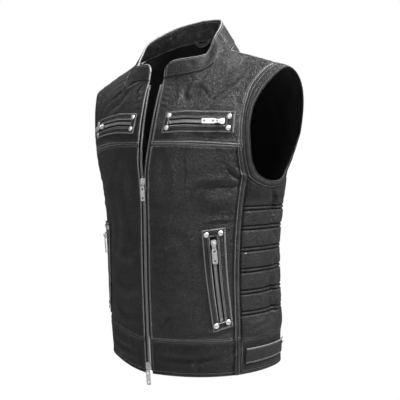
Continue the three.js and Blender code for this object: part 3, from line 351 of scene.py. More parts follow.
def back_place(w, v):
    """The back piece: w from the right to the left, v from the hem seam up."""
    u = 2 * w - 1
    top = smooth(BACK_NECK, "u", "h", np.abs(u))
    seam_v = (CHEST_SEAM_H - HEM_SEAM_H) / (SHOULDER_RISE - HEM_SEAM_H)
    low = mix(HEM_SEAM_H, CHEST_SEAM_H, v / seam_v)
    high = mix(CHEST_SEAM_H, top, (v - seam_v) / (1 - seam_v))
    h = np.where(v < seam_v, low, high)
    p = back_at(u * outer_share(h, 1), h)
    columns = np.array(BACK_NECK_COLUMNS)
    ends = smooth(BACK_NECK, "u", "h", columns)
    left, right = [
        drawn_to_neck(p, u, h, top, columns, neck_pull(
            columns, back_at(sign * columns * outer_share(ends, 1), ends), 0, sign))
        for _, sign in SIDES
    ]
    return np.where((u < 0)[..., None], right, left)


def cloud(p, size, seed):
    """Soft random lumps from -1 to 1, about that many millimetres across."""
    lattice = np.random.default_rng(seed).uniform(-1, 1, (32, 32, 32))
    q = p / size
    base = np.floor(q).astype(int)
    f = q - base
    f = f * f * (3 - 2 * f)
    total = np.zeros(p.shape[:-1])
    for corner in product((0, 1), repeat=3):
        c = np.array(corner)
        share = np.prod(np.where(c, f, 1 - f), axis=-1)
        i, j, k = np.moveaxis((base + c) % 32, -1, 0)
        total += share * lattice[i, j, k]
    return total


def ripple(along, wave, seed):
    """A smooth random line from -1 to 1 along a seam."""
    knots = np.random.default_rng(seed).uniform(-1, 1, 512)
    q = along / wave
    k = np.floor(q).astype(int)
    f = q - k
    f = f * f * (3 - 2 * f)
    return mix(knots[k % 512], knots[(k + 1) % 512], f)


# How the leather rises from a cut edge inwards, and where it is rubbed pale, with the stitch lines
# sunk in it. Below 0 the wear value is painted shade, which darkens the sunk stitch lines and the
# cut edges. d is in millimetres.
BUTTED = {"d": [0, 0.4, 1.1, 2.2, 5], "rise": [-1.4, -0.5, 0.3, 0.35, 0],
          "rub": [-1, -0.2, 0.6, 0.1, 0], "sewn": []}
SEWN_ONCE = {"d": [0, 0.45, 1.1, 1.8, 2.6, 3.4, 4.4, 6.5, 9.5],
             "rise": [-1.6, -0.2, 0.8, 0.5, -0.7, 0.3, 0.45, 0.3, 0],
             "rub": [-0.6, 0.5, 1, -0.2, -1, -0.2, 0.6, 0.1, 0], "sewn": [2.6]}
SEWN_TWICE = {"d": [0, 0.45, 1.1, 1.8, 2.6, 3.4, 4.8, 6.2, 7.0, 7.8, 9.2, 12],
              "rise": [-1.4, 0.2, 1.1, 0.8, -0.5, 0.8, 1.3, 0.8, -0.5, 0.6, 0.4, 0],
              "rub": [-0.5, 0.9, 1, 0, -1, 0.2, 1, 0.2, -1, 0.2, 0.4, 0], "sewn": [2.6, 7.0]}


def join_wear_and_shade(rub, more):
    """Adds an edge's wear and painted shade to a piece's: rubbed places are above 0, painted shade
    below.
    """
    return np.where((more < 0) | (rub < 0), np.minimum(rub, more), np.maximum(rub, more))


def near_edge(edge, d):
    """How the leather rises, and its wear and painted shade, at distances from an edge."""
    return np.interp(d, edge["d"], edge["rise"]), np.interp(d, edge["d"], edge["rub"])


def edge_relief(grid, rub):
    """How a piece rises beside all its edges, and its wear and painted shade with theirs."""
    rise = np.zeros(rub.shape)
    for edge, d in grid["edges"]:
        edge_rise, edge_wear_and_shade = near_edge(edge, d)
        rise += edge_rise
        rub = join_wear_and_shade(rub, edge_wear_and_shade)
    return rise, rub


def between(near, far, length, count):
    middle = np.linspace(near[-1], length - far[-1], count + 1)[1:-1]
    return np.concatenate([near, middle, (length - np.array(far))[::-1]])


def lay_out(place, left, right, low, high, pitch=3.0, crowd=1.0):
    """A grid over a piece, closer where its four edges are sewn. crowd packs rows at the top."""
    fine = 1 - (1 - np.linspace(0, 1, 201)) ** crowd
    sample = place(*np.meshgrid(np.linspace(0, 1, 61), fine))
    climb = np.linalg.norm(np.diff(sample, axis=0), axis=2).mean(axis=1)
    climb = np.concatenate([[0], np.cumsum(climb)])
    across = np.linalg.norm(np.diff(sample, axis=1), axis=2).sum(axis=1)
    height = climb[-1]
    rows = between(low["d"], high["d"], height, max(3, round(height / pitch)))
    v = np.interp(rows, climb, fine)
    widths = np.interp(v, fine, across)
    count = max(3, round(widths.max() / pitch))
    d = np.stack([between(left["d"], right["d"], w, count) for w in widths])
    u = d / widths[:, None]
    grid = {"p": place(u, np.broadcast_to(v[:, None], u.shape)), "u": u, "v": v}
    grid["edges"] = [
        (left, d), (right, widths[:, None] - d),
        (low, rows[:, None] + 0 * d), (high, height - rows[:, None] + 0 * d),
    ]
    grid["along"] = [rows[:, None] + 0 * d, rows[:, None] + 0 * d, d, d]
    return grid


def outward(p, ring=False):
    """Directions away from the wearer for a grid of places."""
    wide = np.concatenate([p[:, -1:], p, p[:, :1]], axis=1) if ring else p
    across = np.gradient(wide, axis=1)
    across = across[:, 1:-1] if ring else across
    n = np.cross(across, np.gradient(p, axis=0))
    n /= np.maximum(1e-9, np.linalg.norm(n, axis=-1, keepdims=True))
    from_inside = np.stack([p[..., 0] * 0.7, p[..., 1] - MIDDLE_Y, 60 + 0 * p[..., 2]], axis=-1)
    return n if (n * from_inside).sum() > 0 else -n


def creased(p, n, creases, place):
    """Soft troughs pressed into the leather, each with a ridge beside it, and where their ridges
    wear pale.
    """
    push = np.zeros(p.shape[:-1])
    rub = np.zeros(p.shape[:-1])
    for *path, width, depth, ridge in creases:
        t = np.linspace(0, 1, 25)
        points = np.array([place(*q) for q in path])
        knots = {"t": np.linspace(0, 1, len(path)), **dict(zip("xyz", points.T))}
        line = np.stack([smooth(knots, "t", a, t) for a in "xyz"], axis=-1)
        way = unit(np.gradient(line, axis=0))
        apart = np.linalg.norm(p[..., None, :] - line, axis=-1)
        nearest = apart.argmin(-1)
        reach = p - line[nearest]
        over = np.abs((reach * way[nearest]).sum(-1))
        aside = (reach * np.cross(n, way[nearest])).sum(-1)
        body = np.sin(np.pi * np.clip(t[nearest], 0.02, 0.98)) ** 0.6
        hold = body * np.exp(-(over / (2.2 * width)) ** 2) * (apart.min(-1) < 8 * width)
        crest = np.exp(-((aside - 1.9 * width) / (1.15 * width)) ** 2)
        other = np.exp(-((aside + 1.9 * width) / (1.15 * width)) ** 2)
        trough = np.exp(-(aside / width) ** 2)
        push += depth * hold * (ridge * crest + 0.45 * ridge * other - trough)
        rub += 0.25 * min(1.5, depth) * hold * (crest + 0.5 * other)
    return push, rub


def piece_mesh(name, places, quads, rub, paints, paint_of=0):
    """A mesh piece of four-sided faces, faces out, in the frame's metres."""
    a, b, c, d = (places[quads[:, k]] for k in range(4))
    volume = (a * np.cross(b, c)).sum() + (a * np.cross(c, d)).sum()
    quads = quads if volume > 0 else quads[:, ::-1]
    data = bpy.data.meshes.new(name)
    data.vertices.add(len(places))
    data.vertices.foreach_set("co", (places * MM).astype(np.float32).ravel())
    data.loops.add(quads.size)
    data.loops.foreach_set("vertex_index", quads.astype(np.int32).ravel())
    data.polygons.add(len(quads))
    data.polygons.foreach_set("loop_start", np.arange(0, quads.size, 4, dtype=np.int32))
    paint_numbers = np.zeros(len(quads), dtype=np.int32) + np.int32(paint_of)
    data.polygons.foreach_set("material_index", paint_numbers)
    data.polygons.foreach_set("use_smooth", np.ones(len(quads), dtype=bool))
    data.update(calc_edges=True)
    wear_and_shade_values = data.attributes.new("rub", "FLOAT", "POINT")
    wear_and_shade_values.data.foreach_set("value", rub.astype(np.float32).ravel())
    return set_down(name, data, paints)


def set_down(name, data, paints):
    for paint in paints:
        data.materials.append(paint)
    piece = bpy.data.objects.new(name, data)
    bpy.context.scene.collection.objects.link(piece)
    return piece


def shell(name, node_name, outer, inner, paints, rub=0, inner_rub=0, ring=False, hole=None):
    """A wall between two grids of places, closed round its edges and its slot, in its node's place.
    The outside takes the first of its paints, and the inside the last."""
    down, across = outer.shape[:2]
    count = across if ring else across - 1
    number = np.arange(down * across).reshape(down, across)
    i = np.arange(count)
    after = (i + 1) % across
    a, b, c, d = number[:-1, i], number[:-1, after], number[1:, after], number[1:, i]
    there = np.ones(a.shape, bool) if hole is None else ~hole
    far = down * across
    faces = [np.stack([a, b, c, d], -1)[there], np.stack([a, d, c, b], -1)[there] + far]
    grown = np.zeros((down + 1, count + 2), bool)
    grown[1:-1, 1:-1] = there
    if ring:
        grown[:, 0] = grown[:, -2]
        grown[:, -1] = grown[:, 1]
    sides = [(grown[:-2, 1:-1], a, b), (grown[2:, 1:-1], c, d), (grown[1:-1, :-2], d, a),
             (grown[1:-1, 2:], b, c)]
    for beside, start, end in sides:
        open_side = there & ~beside
        start, end = start[open_side], end[open_side]
        faces.append(np.stack([start, start + far, end + far, end], -1))
    places = np.concatenate([outer.reshape(-1, 3), inner.reshape(-1, 3)])
    wear_and_shade_values = np.concatenate([(each + np.zeros(outer.shape[:2])).ravel() for each in (rub, inner_rub)])
    paint_of = np.repeat([0, len(paints) - 1, 0], [len(faces[0]), len(faces[1]),
                                                   sum(map(len, faces[2:]))])
    piece = piece_mesh(name, places, np.concatenate(faces), wear_and_shade_values, paints, paint_of)
    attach(piece, "vest")
    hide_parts(node_name)
    return piece


STITCH = {"pitch": 3.9, "length": 2.5, "thick": 0.44}
# The rings of one stitch: its place along the stitch, its thickness and its lift, as shares
STITCH_RINGS = [(-0.5, 0.35, -0.35), (-0.3, 1, 0.35), (0.3, 1, 0.35), (0.5, 0.35, -0.35)]
STITCH_SIDES = 5


def thread_runs(grid, outer, n):
    """The stitch lines that run beside the sewn edges of a piece."""
    runs = []
    for side, (edge, _) in enumerate(grid["edges"]):
        for d in edge["sewn"]:
            k = edge["d"].index(d)
            line = [np.s_[:, k], np.s_[:, -1 - k], np.s_[k, :], np.s_[-1 - k, :]][side]
            runs.append((outer[line], n[line], 1.5))
    return runs


def sew(name, runs, paint):
    """Thread: short rounded stitches laid end to end along each run, all in one mesh."""
    pitch, length, thick = STITCH.values()
    places, quads = [], []
    total = 0
    for line, n, spare in runs:
        far = run_length(line)
        middle = np.arange(spare + pitch / 2, far[-1] - spare - pitch / 2, pitch)
        count = len(middle)

        def at(d, values):
            return np.stack([np.interp(d, far, values[:, k]) for k in range(3)], -1)

        up = unit(at(middle, n))
        cross = np.cross(up, unit(at(middle + 0.4, line) - at(middle - 0.4, line)))
        for share, wide, lift in STITCH_RINGS:
            centre = at(middle + share * length, line) + up * lift * thick
            for angle in np.linspace(0, 2 * math.pi, STITCH_SIDES, endpoint=False):
                r = thick * wide
                places.append(centre + r * (math.cos(angle) * cross + math.sin(angle) * up))
        first = total + np.arange(count)
        step = STITCH_SIDES * count
        for k, m in product(range(len(STITCH_RINGS) - 1), range(STITCH_SIDES)):
            a = first + k * step + m * count
            b = first + k * step + (m + 1) % STITCH_SIDES * count
            quads.append(np.stack([a, b, b + step, a + step], -1))
        total += len(STITCH_RINGS) * step
    piece = piece_mesh(name, np.concatenate(places), np.concatenate(quads), np.zeros(total),
                       [paint])
    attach(piece, "vest")
    return piece


PUCKER = 0.4


def worn_piece(name, node_name, thread_name, grid, creases, crease_at, seed, wall=LEATHER,
               extra=0.0, extra_rub=0.0, slack=1.0, lean=0.0, darkening=0.0):
    """A leather piece in its node's place: its seams, creases, slack, rubbed edges with painted
    shade, and thread.
    """
    p = grid["p"]
    n = outward(p)
    push, rub = creased(p, n, creases, crease_at)
    rub = join_wear_and_shade(rub, extra_rub + 0 * rub)
    push += slack * (0.9 * cloud(p, 75, seed) + 0.35 * cloud(p, 24, seed + 1))
    rise, rub = edge_relief(grid, rub)
    for k, (edge, d) in enumerate(grid["edges"]):
        if edge["sewn"] or edge is BUTTED:
            push *= mix(0.35, 1, clamp01(d / 9))
        if edge["sewn"]:
            along = grid["along"][k]
            ripples = ripple(along, 7, seed + 10 + k) + 0.6 * ripple(along, 3.6, seed + 20 + k)
            rise += PUCKER * ripples * np.exp(-np.abs(d - 4) / 7) * clamp01(d / 1.2)
    outer = p + n * (push + rise + extra)[..., None]
    inner = p + n * (push * 0.8 + lean - wall)[..., None]
    # The darkening lowers the wear value all over: painted shade on the right side, a darker tone
    # on hem and side pieces
    piece = shell(name, node_name, outer, inner, [leather, lining], rub - darkening)
    grid.update(outer=outer, n=n)
    return piece, sew(thread_name, thread_runs(grid, outer, n), thread)


class Paint:
    """A material, with short ways to add nodes to its tree."""

    def __init__(self, name):
        self.material = bpy.data.materials.new(name)
        self.material.use_nodes = True
        self.tree = self.material.node_tree
        self.where = self.add("TexCoord").outputs["Object"]

    def put(self, socket, value):
        if isinstance(value, bpy.types.NodeSocket):
            self.tree.links.new(value, socket)
        else:
            socket.default_value = value

    def add(self, kind, **inputs):
        made = self.tree.nodes.new("ShaderNode" + kind)
        for key, value in inputs.items():
            if key in made.inputs:
                self.put(made.inputs[key], value)
            else:
                setattr(made, key, value)
        return made

    def noise(self, where, scale, detail, roughness=0.5, distortion=0.0):
        return self.add("TexNoise", Vector=where, Scale=scale, Detail=detail, Roughness=roughness,
                        Distortion=distortion)

    def ranged(self, source, low, high, start=0.0, end=1.0):
        ends = {"From Min": low, "From Max": high, "To Min": start, "To Max": end}
        return self.add("MapRange", Value=source, **ends).outputs["Result"]

    def sum_up(self, kind, operation, *sources, **settings):
        made = self.add(kind, operation=operation, **settings)
        for socket, source in zip(made.inputs, sources):
            self.put(socket, source)
        return made.outputs[0]

    def joined(self, operation, first, second):
        return self.sum_up("Math", operation, first, second, use_clamp=True)

    def ramp(self, source, *stops):
        """A blend from colour to colour. Each stop is its place and its colour."""
        made = self.add("ValToRGB", Fac=source)
        for element, (place, colour) in zip(made.color_ramp.elements, stops):
            element.position = place
            element.color = (*colour, 1)
        return made.outputs["Color"]

    def bump(self, height, strength, distance, **under):
        return self.add("Bump", Height=height, Strength=strength, Distance=distance,
                        **under).outputs["Normal"]

    def finished(self, colour, roughness, **others):
        """Sets the shader's sockets, and gives the material."""
        sockets = self.tree.nodes["Principled BSDF"].inputs
        settings = {"Base_Color": colour, "Roughness": roughness, **others}
        for key, value in settings.items():
            self.put(sockets[key.replace("_", " ")], value)
        return self.material


def tinted(colour, share):
    return [c * share for c in colour]


def hide_paint(name, dark, middle, pale, shine, seed):
    """Oiled black leather: uneven dye, pebbled grain, fine wrinkles, grey rubbed places, painted
    shade.
    """
    paint = Paint(name)
    where = paint.add("Mapping", Vector=paint.where,
                      Location=(seed, 0.37 * seed, 0.71 * seed)).outputs["Vector"]
    broad = paint.noise(where, 17, 4, 0.55, 0.3).outputs["Fac"]
    blotches = paint.noise(where, 130, 6, 0.72, 0.5)
    blotch = blotches.outputs["Fac"]
    speck = paint.noise(where, 420, 3, 0.6).outputs["Fac"]
    wrinkle = paint.noise(where, 210, 4, 0.6, 0.5).outputs["Fac"]
    pebble = paint.add("TexVoronoi", Vector=where, feature="SMOOTH_F1", Scale=400.0, Smoothness=0.4)
    bent = paint.sum_up("VectorMath", "MULTIPLY_ADD", blotches.outputs["Color"], (0.012,) * 3,
                        where)
    crack = paint.add("TexVoronoi", Vector=bent, feature="DISTANCE_TO_EDGE", Scale=150.0)
    rub = paint.add("Attribute", attribute_name="rub").outputs["Fac"]
    tone = paint.joined("ADD", paint.ranged(broad, 0.35, 0.7, 0, 0.4),
                        paint.ranged(blotch, 0.4, 0.64, 0, 0.6))
    # Painted shade: below 0 the wear value darkens the dye in grooves, at edges, under laps and on
    # some whole pieces
    undarkened = paint.ranged(rub, -0.8, 0.0)
    dye = paint.ramp(paint.joined("MULTIPLY", tone, undarkened), (0, dark), (1, middle))
    flecks = paint.ranged(speck, 0.36, 0.56, 0.4, 1.0)
    edge_wear = paint.ranged(paint.joined("MULTIPLY", rub, flecks), 0.28, 0.7)
    dust = paint.ranged(speck, 0.55, 0.75, 0, 0.24)
    scuffs = paint.joined("MULTIPLY", paint.ranged(broad, 0.42, 0.66, 0.25, 1), dust)
    colour = paint.add("Mix", data_type="RGBA", Factor=paint.joined("ADD", edge_wear, scuffs))
    paint.put(colour.inputs[6], dye)
    paint.put(colour.inputs[7], (*pale, 1))
    mottled = paint.ranged(blotch, 0.36, 0.66, shine - 0.1, shine + 0.2)
    sunk = paint.ranged(rub, -0.8, 0.0, 0.5, 0.0)
    cracks = paint.bump(paint.ranged(crack.outputs["Distance"], 0.0, 0.08), 0.5, 0.001)
    pebbles = paint.bump(pebble.outputs["Distance"], 0.7, 0.001, Normal=cracks)
    wrinkles = paint.bump(wrinkle, 0.5, 0.0016, Normal=pebbles)
    return paint.finished(colour.outputs[2], paint.joined("ADD", mottled, sunk), Normal=wrinkles,
                          Specular_IOR_Level=0.42)


leather = hide_paint("worn_leather", (0.002, 0.002, 0.0022), (0.028, 0.028, 0.029),
                     (0.34, 0.34, 0.347), shine=0.4, seed=0.3)


def woven_paint(name, colour, across, shine):
    """A closely woven cloth: two crossed sets of fine threads."""
    paint = Paint(name)
    heights = []
    for turn in ((0, 0, 0.785), (0.785, 0.6, 0)):
        lay = paint.add("Mapping", Vector=paint.where, Rotation=turn).outputs["Vector"]
        threads = paint.add("TexWave", Vector=lay, Scale=across, Distortion=0.8)
        heights.append(threads.outputs["Fac"])
    relief = paint.bump(paint.sum_up("Math", "ADD", *heights), 0.25, 0.0004)
    tone = paint.noise(paint.where, 40, 3).outputs["Fac"]
    dye = paint.ramp(tone, (0, tinted(colour, 0.6)), (1, tinted(colour, 1.5)))
    return paint.finished(dye, shine, Normal=relief, Sheen_Weight=0.04, Specular_IOR_Level=0.2)


lining = woven_paint("black_lining", (0.004, 0.004, 0.0045), across=380, shine=0.75)


def thread_paint(name, colour):
    """Twisted waxed thread: a fine spiral of plies."""
    paint = Paint(name)
    lay = paint.add("Mapping", Vector=paint.where, Rotation=(0.6, 0.6, 0.6)).outputs["Vector"]
    ply = paint.add("TexWave", Vector=lay, Scale=900.0).outputs["Fac"]
    return paint.finished(paint.ramp(ply, (0, tinted(colour, 0.55)), (1, colour)), 0.6)


thread = thread_paint("grey_thread", (0.6, 0.6, 0.61))

BACK_CREASES = [
    ((-0.75, 60), (-0.35, 30), (-0.05, 45), 9, 2.0, 0.8),
    ((0.8, 50), (0.45, 22), (0.12, 30), 10, 2.2, 0.8),
    ((-0.82, -10), (-0.5, -48), (-0.2, -60), 8, 1.6, 0.7),
    ((0.85, -25), (0.5, -70), (0.25, -84), 9, 1.8, 0.7),
    ((-0.6, -150), (-0.1, -172), (0.3, -160), 9, 1.9, 0.9),
    ((0.7, -135), (0.35, -150), 7, 1.3, 0.7),
    ((-0.8, -205), (-0.45, -222), (-0.1, -214), 8, 1.7, 0.8),
    ((0.75, -225), (0.3, -244), (-0.05, -236), 9, 1.7, 0.8),
    ((-0.5, 175), (-0.62, 120), (-0.7, 78), 10, 1.9, 0.6),
    ((0.52, 180), (0.63, 130), (0.66, 96), 10, 1.8, 0.6),
    ((-0.08, 150), (-0.02, 90), (-0.06, 40), 11, 1.2, 0.6),
]
back_grid = lay_out(back_place, SEWN_ONCE, SEWN_ONCE, SEWN_ONCE, SEWN_ONCE, crowd=2.4, pitch=3.4)
back, back_thread = worn_piece("back_piece", "back", "back_thread", back_grid, BACK_CREASES,
                               back_at, seed=11)

# Fronts
# Each front runs from the zip to the side seam, below the chest seam. Its edge at the zip is
# folded and stitched, and its side seam is a raised double-stitched lap.
FRONT_OPENING = {
    "h": [-365, -40, -20, 0, 28, 60, 110, 165, 235],
    "left": [4.4, 4.4, 5.8, 6.6, 9, 12, 13.5, 14, 14],
    "right": [4.4, 4.4, 5.8, 7.6, 11, 13, 16, 20, 20],
}
# So much of the zip's tape shows between its teeth and the folded edge of the leather
TAPE_SHOWS = 3.0
FOLDED = {"d": [0, 0.45, 1.0, 1.5, 2.1, 2.7, 3.6, 6, 9],
          "rise": [-1.2, -0.1, 0.45, 0.3, -0.4, 0.4, 0.6, 0.35, 0],
          "rub": [0.9, 1.3, 1.3, 0.3, -0.8, 0.2, 0.7, 0.1, 0], "sewn": [2.1]}
LAPPED = {"d": [0, 0.4, 0.9, 1.5, 2.2, 3.6, 4.9, 5.6, 6.3, 7.0, 8.0, 11],
          "rise": [-0.6, 0.4, 0.9, -0.3, 1.1, 1.6, 1.2, -0.3, 1.0, 0.4, -0.6, 0],
          "rub": [-1, -0.2, 0.3, -1, 0.1, 0.35, 0, -1, 0.75, 0, -1, 0], "sewn": [1.5, 5.6]}


def zip_share(h, sign, clear=0.0):
    """The share of the half width where the zip's opening ends, or a place so far clear of it."""
    opening = smooth(FRONT_OPENING, "h", "left" if sign > 0 else "right", h)
    return (opening + clear) / half_width_at(h)


def front_edge_share(h, sign):
    return zip_share(h, sign, TAPE_SHOWS)


def front_place(sign, low_h=HEM_SEAM_H, high_h=CHEST_SEAM_H):
    def at(u, v):
        h = mix(low_h, high_h, v)
        return front_at(sign * mix(front_edge_share(h, sign), outer_share(h, -1), u), h)
    return at


FRONT_CREASES = {
    "left": [
        ((0.78, 9), (0.85, -8), (0.905, -17), 3.6, 3.9, 1.0),
        ((0.56, -27), (0.73, -21), (0.9, -24), 5, 2.8, 0.9),
        ((0.6, -54), (0.7, -60), (0.82, -65), 5, 1.5, 0.8),
        ((0.66, -94), (0.75, -90), (0.86, -91), 4, 1.4, 0.8),
        ((0.55, -290), (0.71, -289), (0.88, -281), 4, 1.7, 0.9),
        ((0.42, 31), (0.45, 0), (0.44, -25), 1.8, 0.8, 1.0),
        ((0.44, -25), (0.55, -34), (0.45, -46), (0.31, -73), 1.8, 0.7, 1.0),
        ((0.16, 34), (0.26, -10), (0.22, -60), 9, 1.3, 0.7),
        ((0.1, -128), (0.26, -146), (0.42, -140), 7, 1.3, 0.8),
        ((0.3, -100), (0.44, -122), (0.52, -170), 8, 1.2, 0.6),
        ((0.1, -196), (0.24, -212), (0.46, -204), 7, 1.2, 0.8),
        ((0.2, -262), (0.36, -254), (0.52, -262), 6, 1.1, 0.8),
        ((0.12, -283), (0.2, -287), 3, 0.9, 0.8),
        ((0.1, -166), (0.16, -171), 3, 0.8, 0.8),
        ((0.07, -92), (0.15, -97), 3, 0.8, 0.8),
    ],
    "right": [
        ((-0.5, 2), (-0.68, -18), (-0.88, -20), 4, 2.2, 1.0),
        ((-0.6, -48), (-0.74, -54), (-0.86, -50), 5, 1.5, 0.8),
        ((-0.2, 32), (-0.32, -24), (-0.28, -84), 8, 1.3, 0.7),
        ((-0.08, -118), (-0.26, -146), (-0.5, -144), 7, 1.5, 0.9),
        ((-0.1, -192), (-0.3, -214), (-0.5, -208), 7, 1.3, 0.8),
        ((-0.5, -62), (-0.44, -112), (-0.52, -164), 8, 1.2, 0.6),
        ((-0.12, -258), (-0.3, -268), (-0.5, -258), 6, 1.2, 0.8),
        ((-0.08, -80), (-0.2, -86), 3, 0.9, 0.8),
        ((-0.6, -291), (-0.86, -284), 4, 1.5, 0.9),
    ],
}
# Painted shade darkens the right side more, which hangs away from the light
RIGHT_SIDE_SHADE = {"left": 0.0, "right": 0.3}
for word, sign in SIDES:
    grid = lay_out(front_place(sign), FOLDED, LAPPED, SEWN_ONCE, SEWN_ONCE)
    front, front_thread = worn_piece(
        f"front_piece_{word}", f"front_{word}", f"front_thread_{word}", grid, FRONT_CREASES[word],
        front_at, seed=31 + sign, darkening=RIGHT_SIDE_SHADE[word])

# Yokes
# Each yoke covers the chest, from the chest seam up to the shoulder seam, the collar and the
# armhole. Its lower edge laps the front and is stitched twice, and is worn pale along the fold.
FRONT_NECK = {"u": [0, 0.2, 0.36, 0.42, 0.455, 0.485, 0.505, 1],
              "h": [165, 167, 175, 188, 200, 216, 235, 235]}
YOKE_NECK_COLUMNS = [0, 0.1, 0.2, 0.3, 0.38, 0.43, 0.46, 0.485, 0.505, 0.6, 1]
SHOULDER_SEAM = {"d": [0, 0.5, 1.4, 2.6, 3.8, 4.6, 5.4, 7, 10],
                 "rise": [-0.9, 0, 0.8, 1.0, 0.6, -0.5, 0.5, 0.3, 0],
                 "rub": [-0.5, 0.6, 1, 0.3, -0.1, -1, -0.1, 0.3, 0], "sewn": [4.6]}


def yoke_place(sign):
    columns = np.array(YOKE_NECK_COLUMNS)
    ends = smooth(FRONT_NECK, "u", "h", columns)

    def chest_point(u, h):
        return front_at(sign * mix(front_edge_share(h, sign), outer_share(h, -1), u), h)

    pulls = neck_pull(columns, chest_point(columns, ends), 1, sign)

    def at(u, v):
        top = smooth(FRONT_NECK, "u", "h", u)
        h = mix(CHEST_SEAM_H, top, v)
        return drawn_to_neck(chest_point(u, h), u, h, top, columns, pulls)
    return at


YOKE_CREASES = {
    "left": [
        ((0.68, 194), (0.645, 169), (0.58, 143), (0.52, 125), 3.4, 3.5, 1.0),
        ((0.31, 163), (0.3, 143), (0.36, 121), 6, 2.0, 0.8),
        ((0.41, 160), (0.45, 153), (0.49, 145), 3, 1.3, 0.9),
        ((0.43, 177), (0.34, 166), 3.2, 1.5, 0.9),
        ((0.74, 178), (0.72, 150), (0.76, 128), 5, 1.4, 0.8),
        ((0.2, 150), (0.24, 132), (0.2, 116), 4, 1.1, 0.8),
        ((0.8, 116), (0.72, 92), (0.76, 66), 6, 1.2, 0.7),
        *[((0.08, level), (0.13, level - 2), (0.17, level - 4), 2.6, 0.5 * deep, 0.6)
          for level, deep in ((155, 1.1), (146, 0.7), (137, 1.2), (127, 0.8), (118, 1.0),
                              (62, 0.9))],
    ],
    "right": [
        ((-0.2, 178), (-0.32, 172), (-0.46, 163), (-0.58, 155), 4.5, 2.6, 1.0),
        ((-0.15, 160), (-0.2, 148), (-0.18, 122), 4, 1.8, 0.9),
        ((-0.34, 200), (-0.44, 196), (-0.56, 198), 3.5, 1.5, 0.9),
        ((-0.3, 158), (-0.4, 138), (-0.56, 128), 6, 1.9, 0.8),
        ((-0.66, 150), (-0.7, 124), (-0.66, 96), 6, 1.3, 0.7),
        ((-0.7, 186), (-0.66, 172), 4, 1.2, 0.8),
        *[((-0.1, level), (-0.15, level - 2), (-0.2, level - 3), 2.6, 0.5 * deep, 0.6)
          for level, deep in ((152, 0.9), (140, 1.2), (130, 0.7), (116, 1.0))],
    ],
}
# Painted highlight: the left shoulder, which catches most light, is painted paler in clouds
YOKE_PAINTED_HIGHLIGHT = {"left": 0.36, "right": 0.0}
for word, sign in SIDES:
    grid = lay_out(yoke_place(sign), FOLDED, SEWN_ONCE, SEWN_TWICE, SHOULDER_SEAM, crowd=2.6,
                   pitch=2.8)
    painted_highlight = YOKE_PAINTED_HIGHLIGHT[word] * clamp01(0.72 + 0.6 * cloud(grid["p"], 36, 61))
    yoke, yoke_thread = worn_piece(
        f"yoke_piece_{word}", f"yoke_{word}", f"yoke_thread_{word}", grid, YOKE_CREASES[word],
        front_at, seed=51 + sign, darkening=RIGHT_SIDE_SHADE[word], extra_rub=painted_highlight)

# Side pieces
# Under each arm a narrower piece runs from side seam to side seam. Six cords are sewn across it
# in tucks, each a raised ridge between two sunk stitch lines, and the leather puffs between them.
TUCK_HEIGHTS = [-255, -217, -178, -140, -101, -66]
# Below 0, a tuck's wear value is painted shade along its sunk stitch lines
TUCK = {"dh": [-9, -5.8, -4.6, -3.4, -2.3, -1.4, 0, 1.4, 2.3, 3.4, 4.6, 5.8, 9],
        "rise": [0.3, 0.5, -0.9, -2.1, -0.7, 0.9, 1.4, 0.9, -0.7, -2.1, -0.9, 0.5, 0.3],
        "rub": [0, 0.45, -0.7, -1, -0.7, 0.1, 0.4, 0.1, -0.7, -1, -0.7, 0.45, 0],
        "sewn": [-3.4, 3.4]}
# Where the side's edge tucks under the front's lap, it is darkened with painted shade
TUCKED_UNDER = {"d": [0, 0.45, 1.1, 1.8, 2.6, 5, 9], "rise": [-1.8, -1.6, -1.2, -0.7, -0.3, 0.1, 0],
                "rub": [-1, -1, -0.8, -0.3, 0, 0, 0], "sewn": []}
black_thread = thread_paint("black_thread", (0.03, 0.03, 0.031))
ARMHOLE_BOTTOM = {"edge": -17, "seam": -31, "edge_start": -3}
FLANK_BLEND_H = -48


def share_of_turn(turn, h, side):
    return np.maximum(0, np.cos(turn * math.pi / 2)) ** (2 / ring_power(h, side))


def turn_of_share(share, h, side):
    """Quarter circles from the side, positive to the front."""
    return -side * np.arccos(np.minimum(1, share) ** (ring_power(h, side) / 2)) * 2 / math.pi


def flank_point(turn, h, sign):
    front = front_at(sign * share_of_turn(turn, h, -1), h)
    back = back_at(sign * share_of_turn(turn, h, 1), h)
    return np.where((turn >= 0)[..., None], front, back)


def flank_turn(u, h):
    front = turn_of_share(outer_share(h, -1), h, -1)
    return mix(front, turn_of_share(outer_share(h, 1), h, 1), u)


def underarm_seam(u):
    seam_h = np.array(float(UNDERARM_SEAM_H))
    turn = mix(flank_turn(0, seam_h), flank_turn(1, seam_h), u)
    h = mix(ARMHOLE_BOTTOM["seam"], UNDERARM_SEAM_H, np.abs(2 * u - 1) ** 2.2)
    return turn, h


def side_place(sign):
    def at(u, level):
        seam_turn, seam_h = underarm_seam(u)
        share = clamp01((level - FLANK_BLEND_H) / (UNDERARM_SEAM_H - FLANK_BLEND_H))
        h = np.where(level <= FLANK_BLEND_H, level, mix(FLANK_BLEND_H, seam_h, share))
        return flank_point(mix(flank_turn(u, h), seam_turn, share), h, sign)
    return at


def filled(marks, pitch):
    """All the marks, with even steps no longer than about the pitch between them."""
    marks = np.unique(marks)
    steps = [marks[:1]]
    for a, b in zip(marks[:-1], marks[1:]):
        steps.append(np.linspace(a, b, max(1, round((b - a) / pitch)) + 1)[1:])
    return np.concatenate(steps)


def flank_at(sign):
    def at(u, h):
        h = np.asarray(h, float)
        return flank_point(flank_turn(u, h), h, sign)
    return at


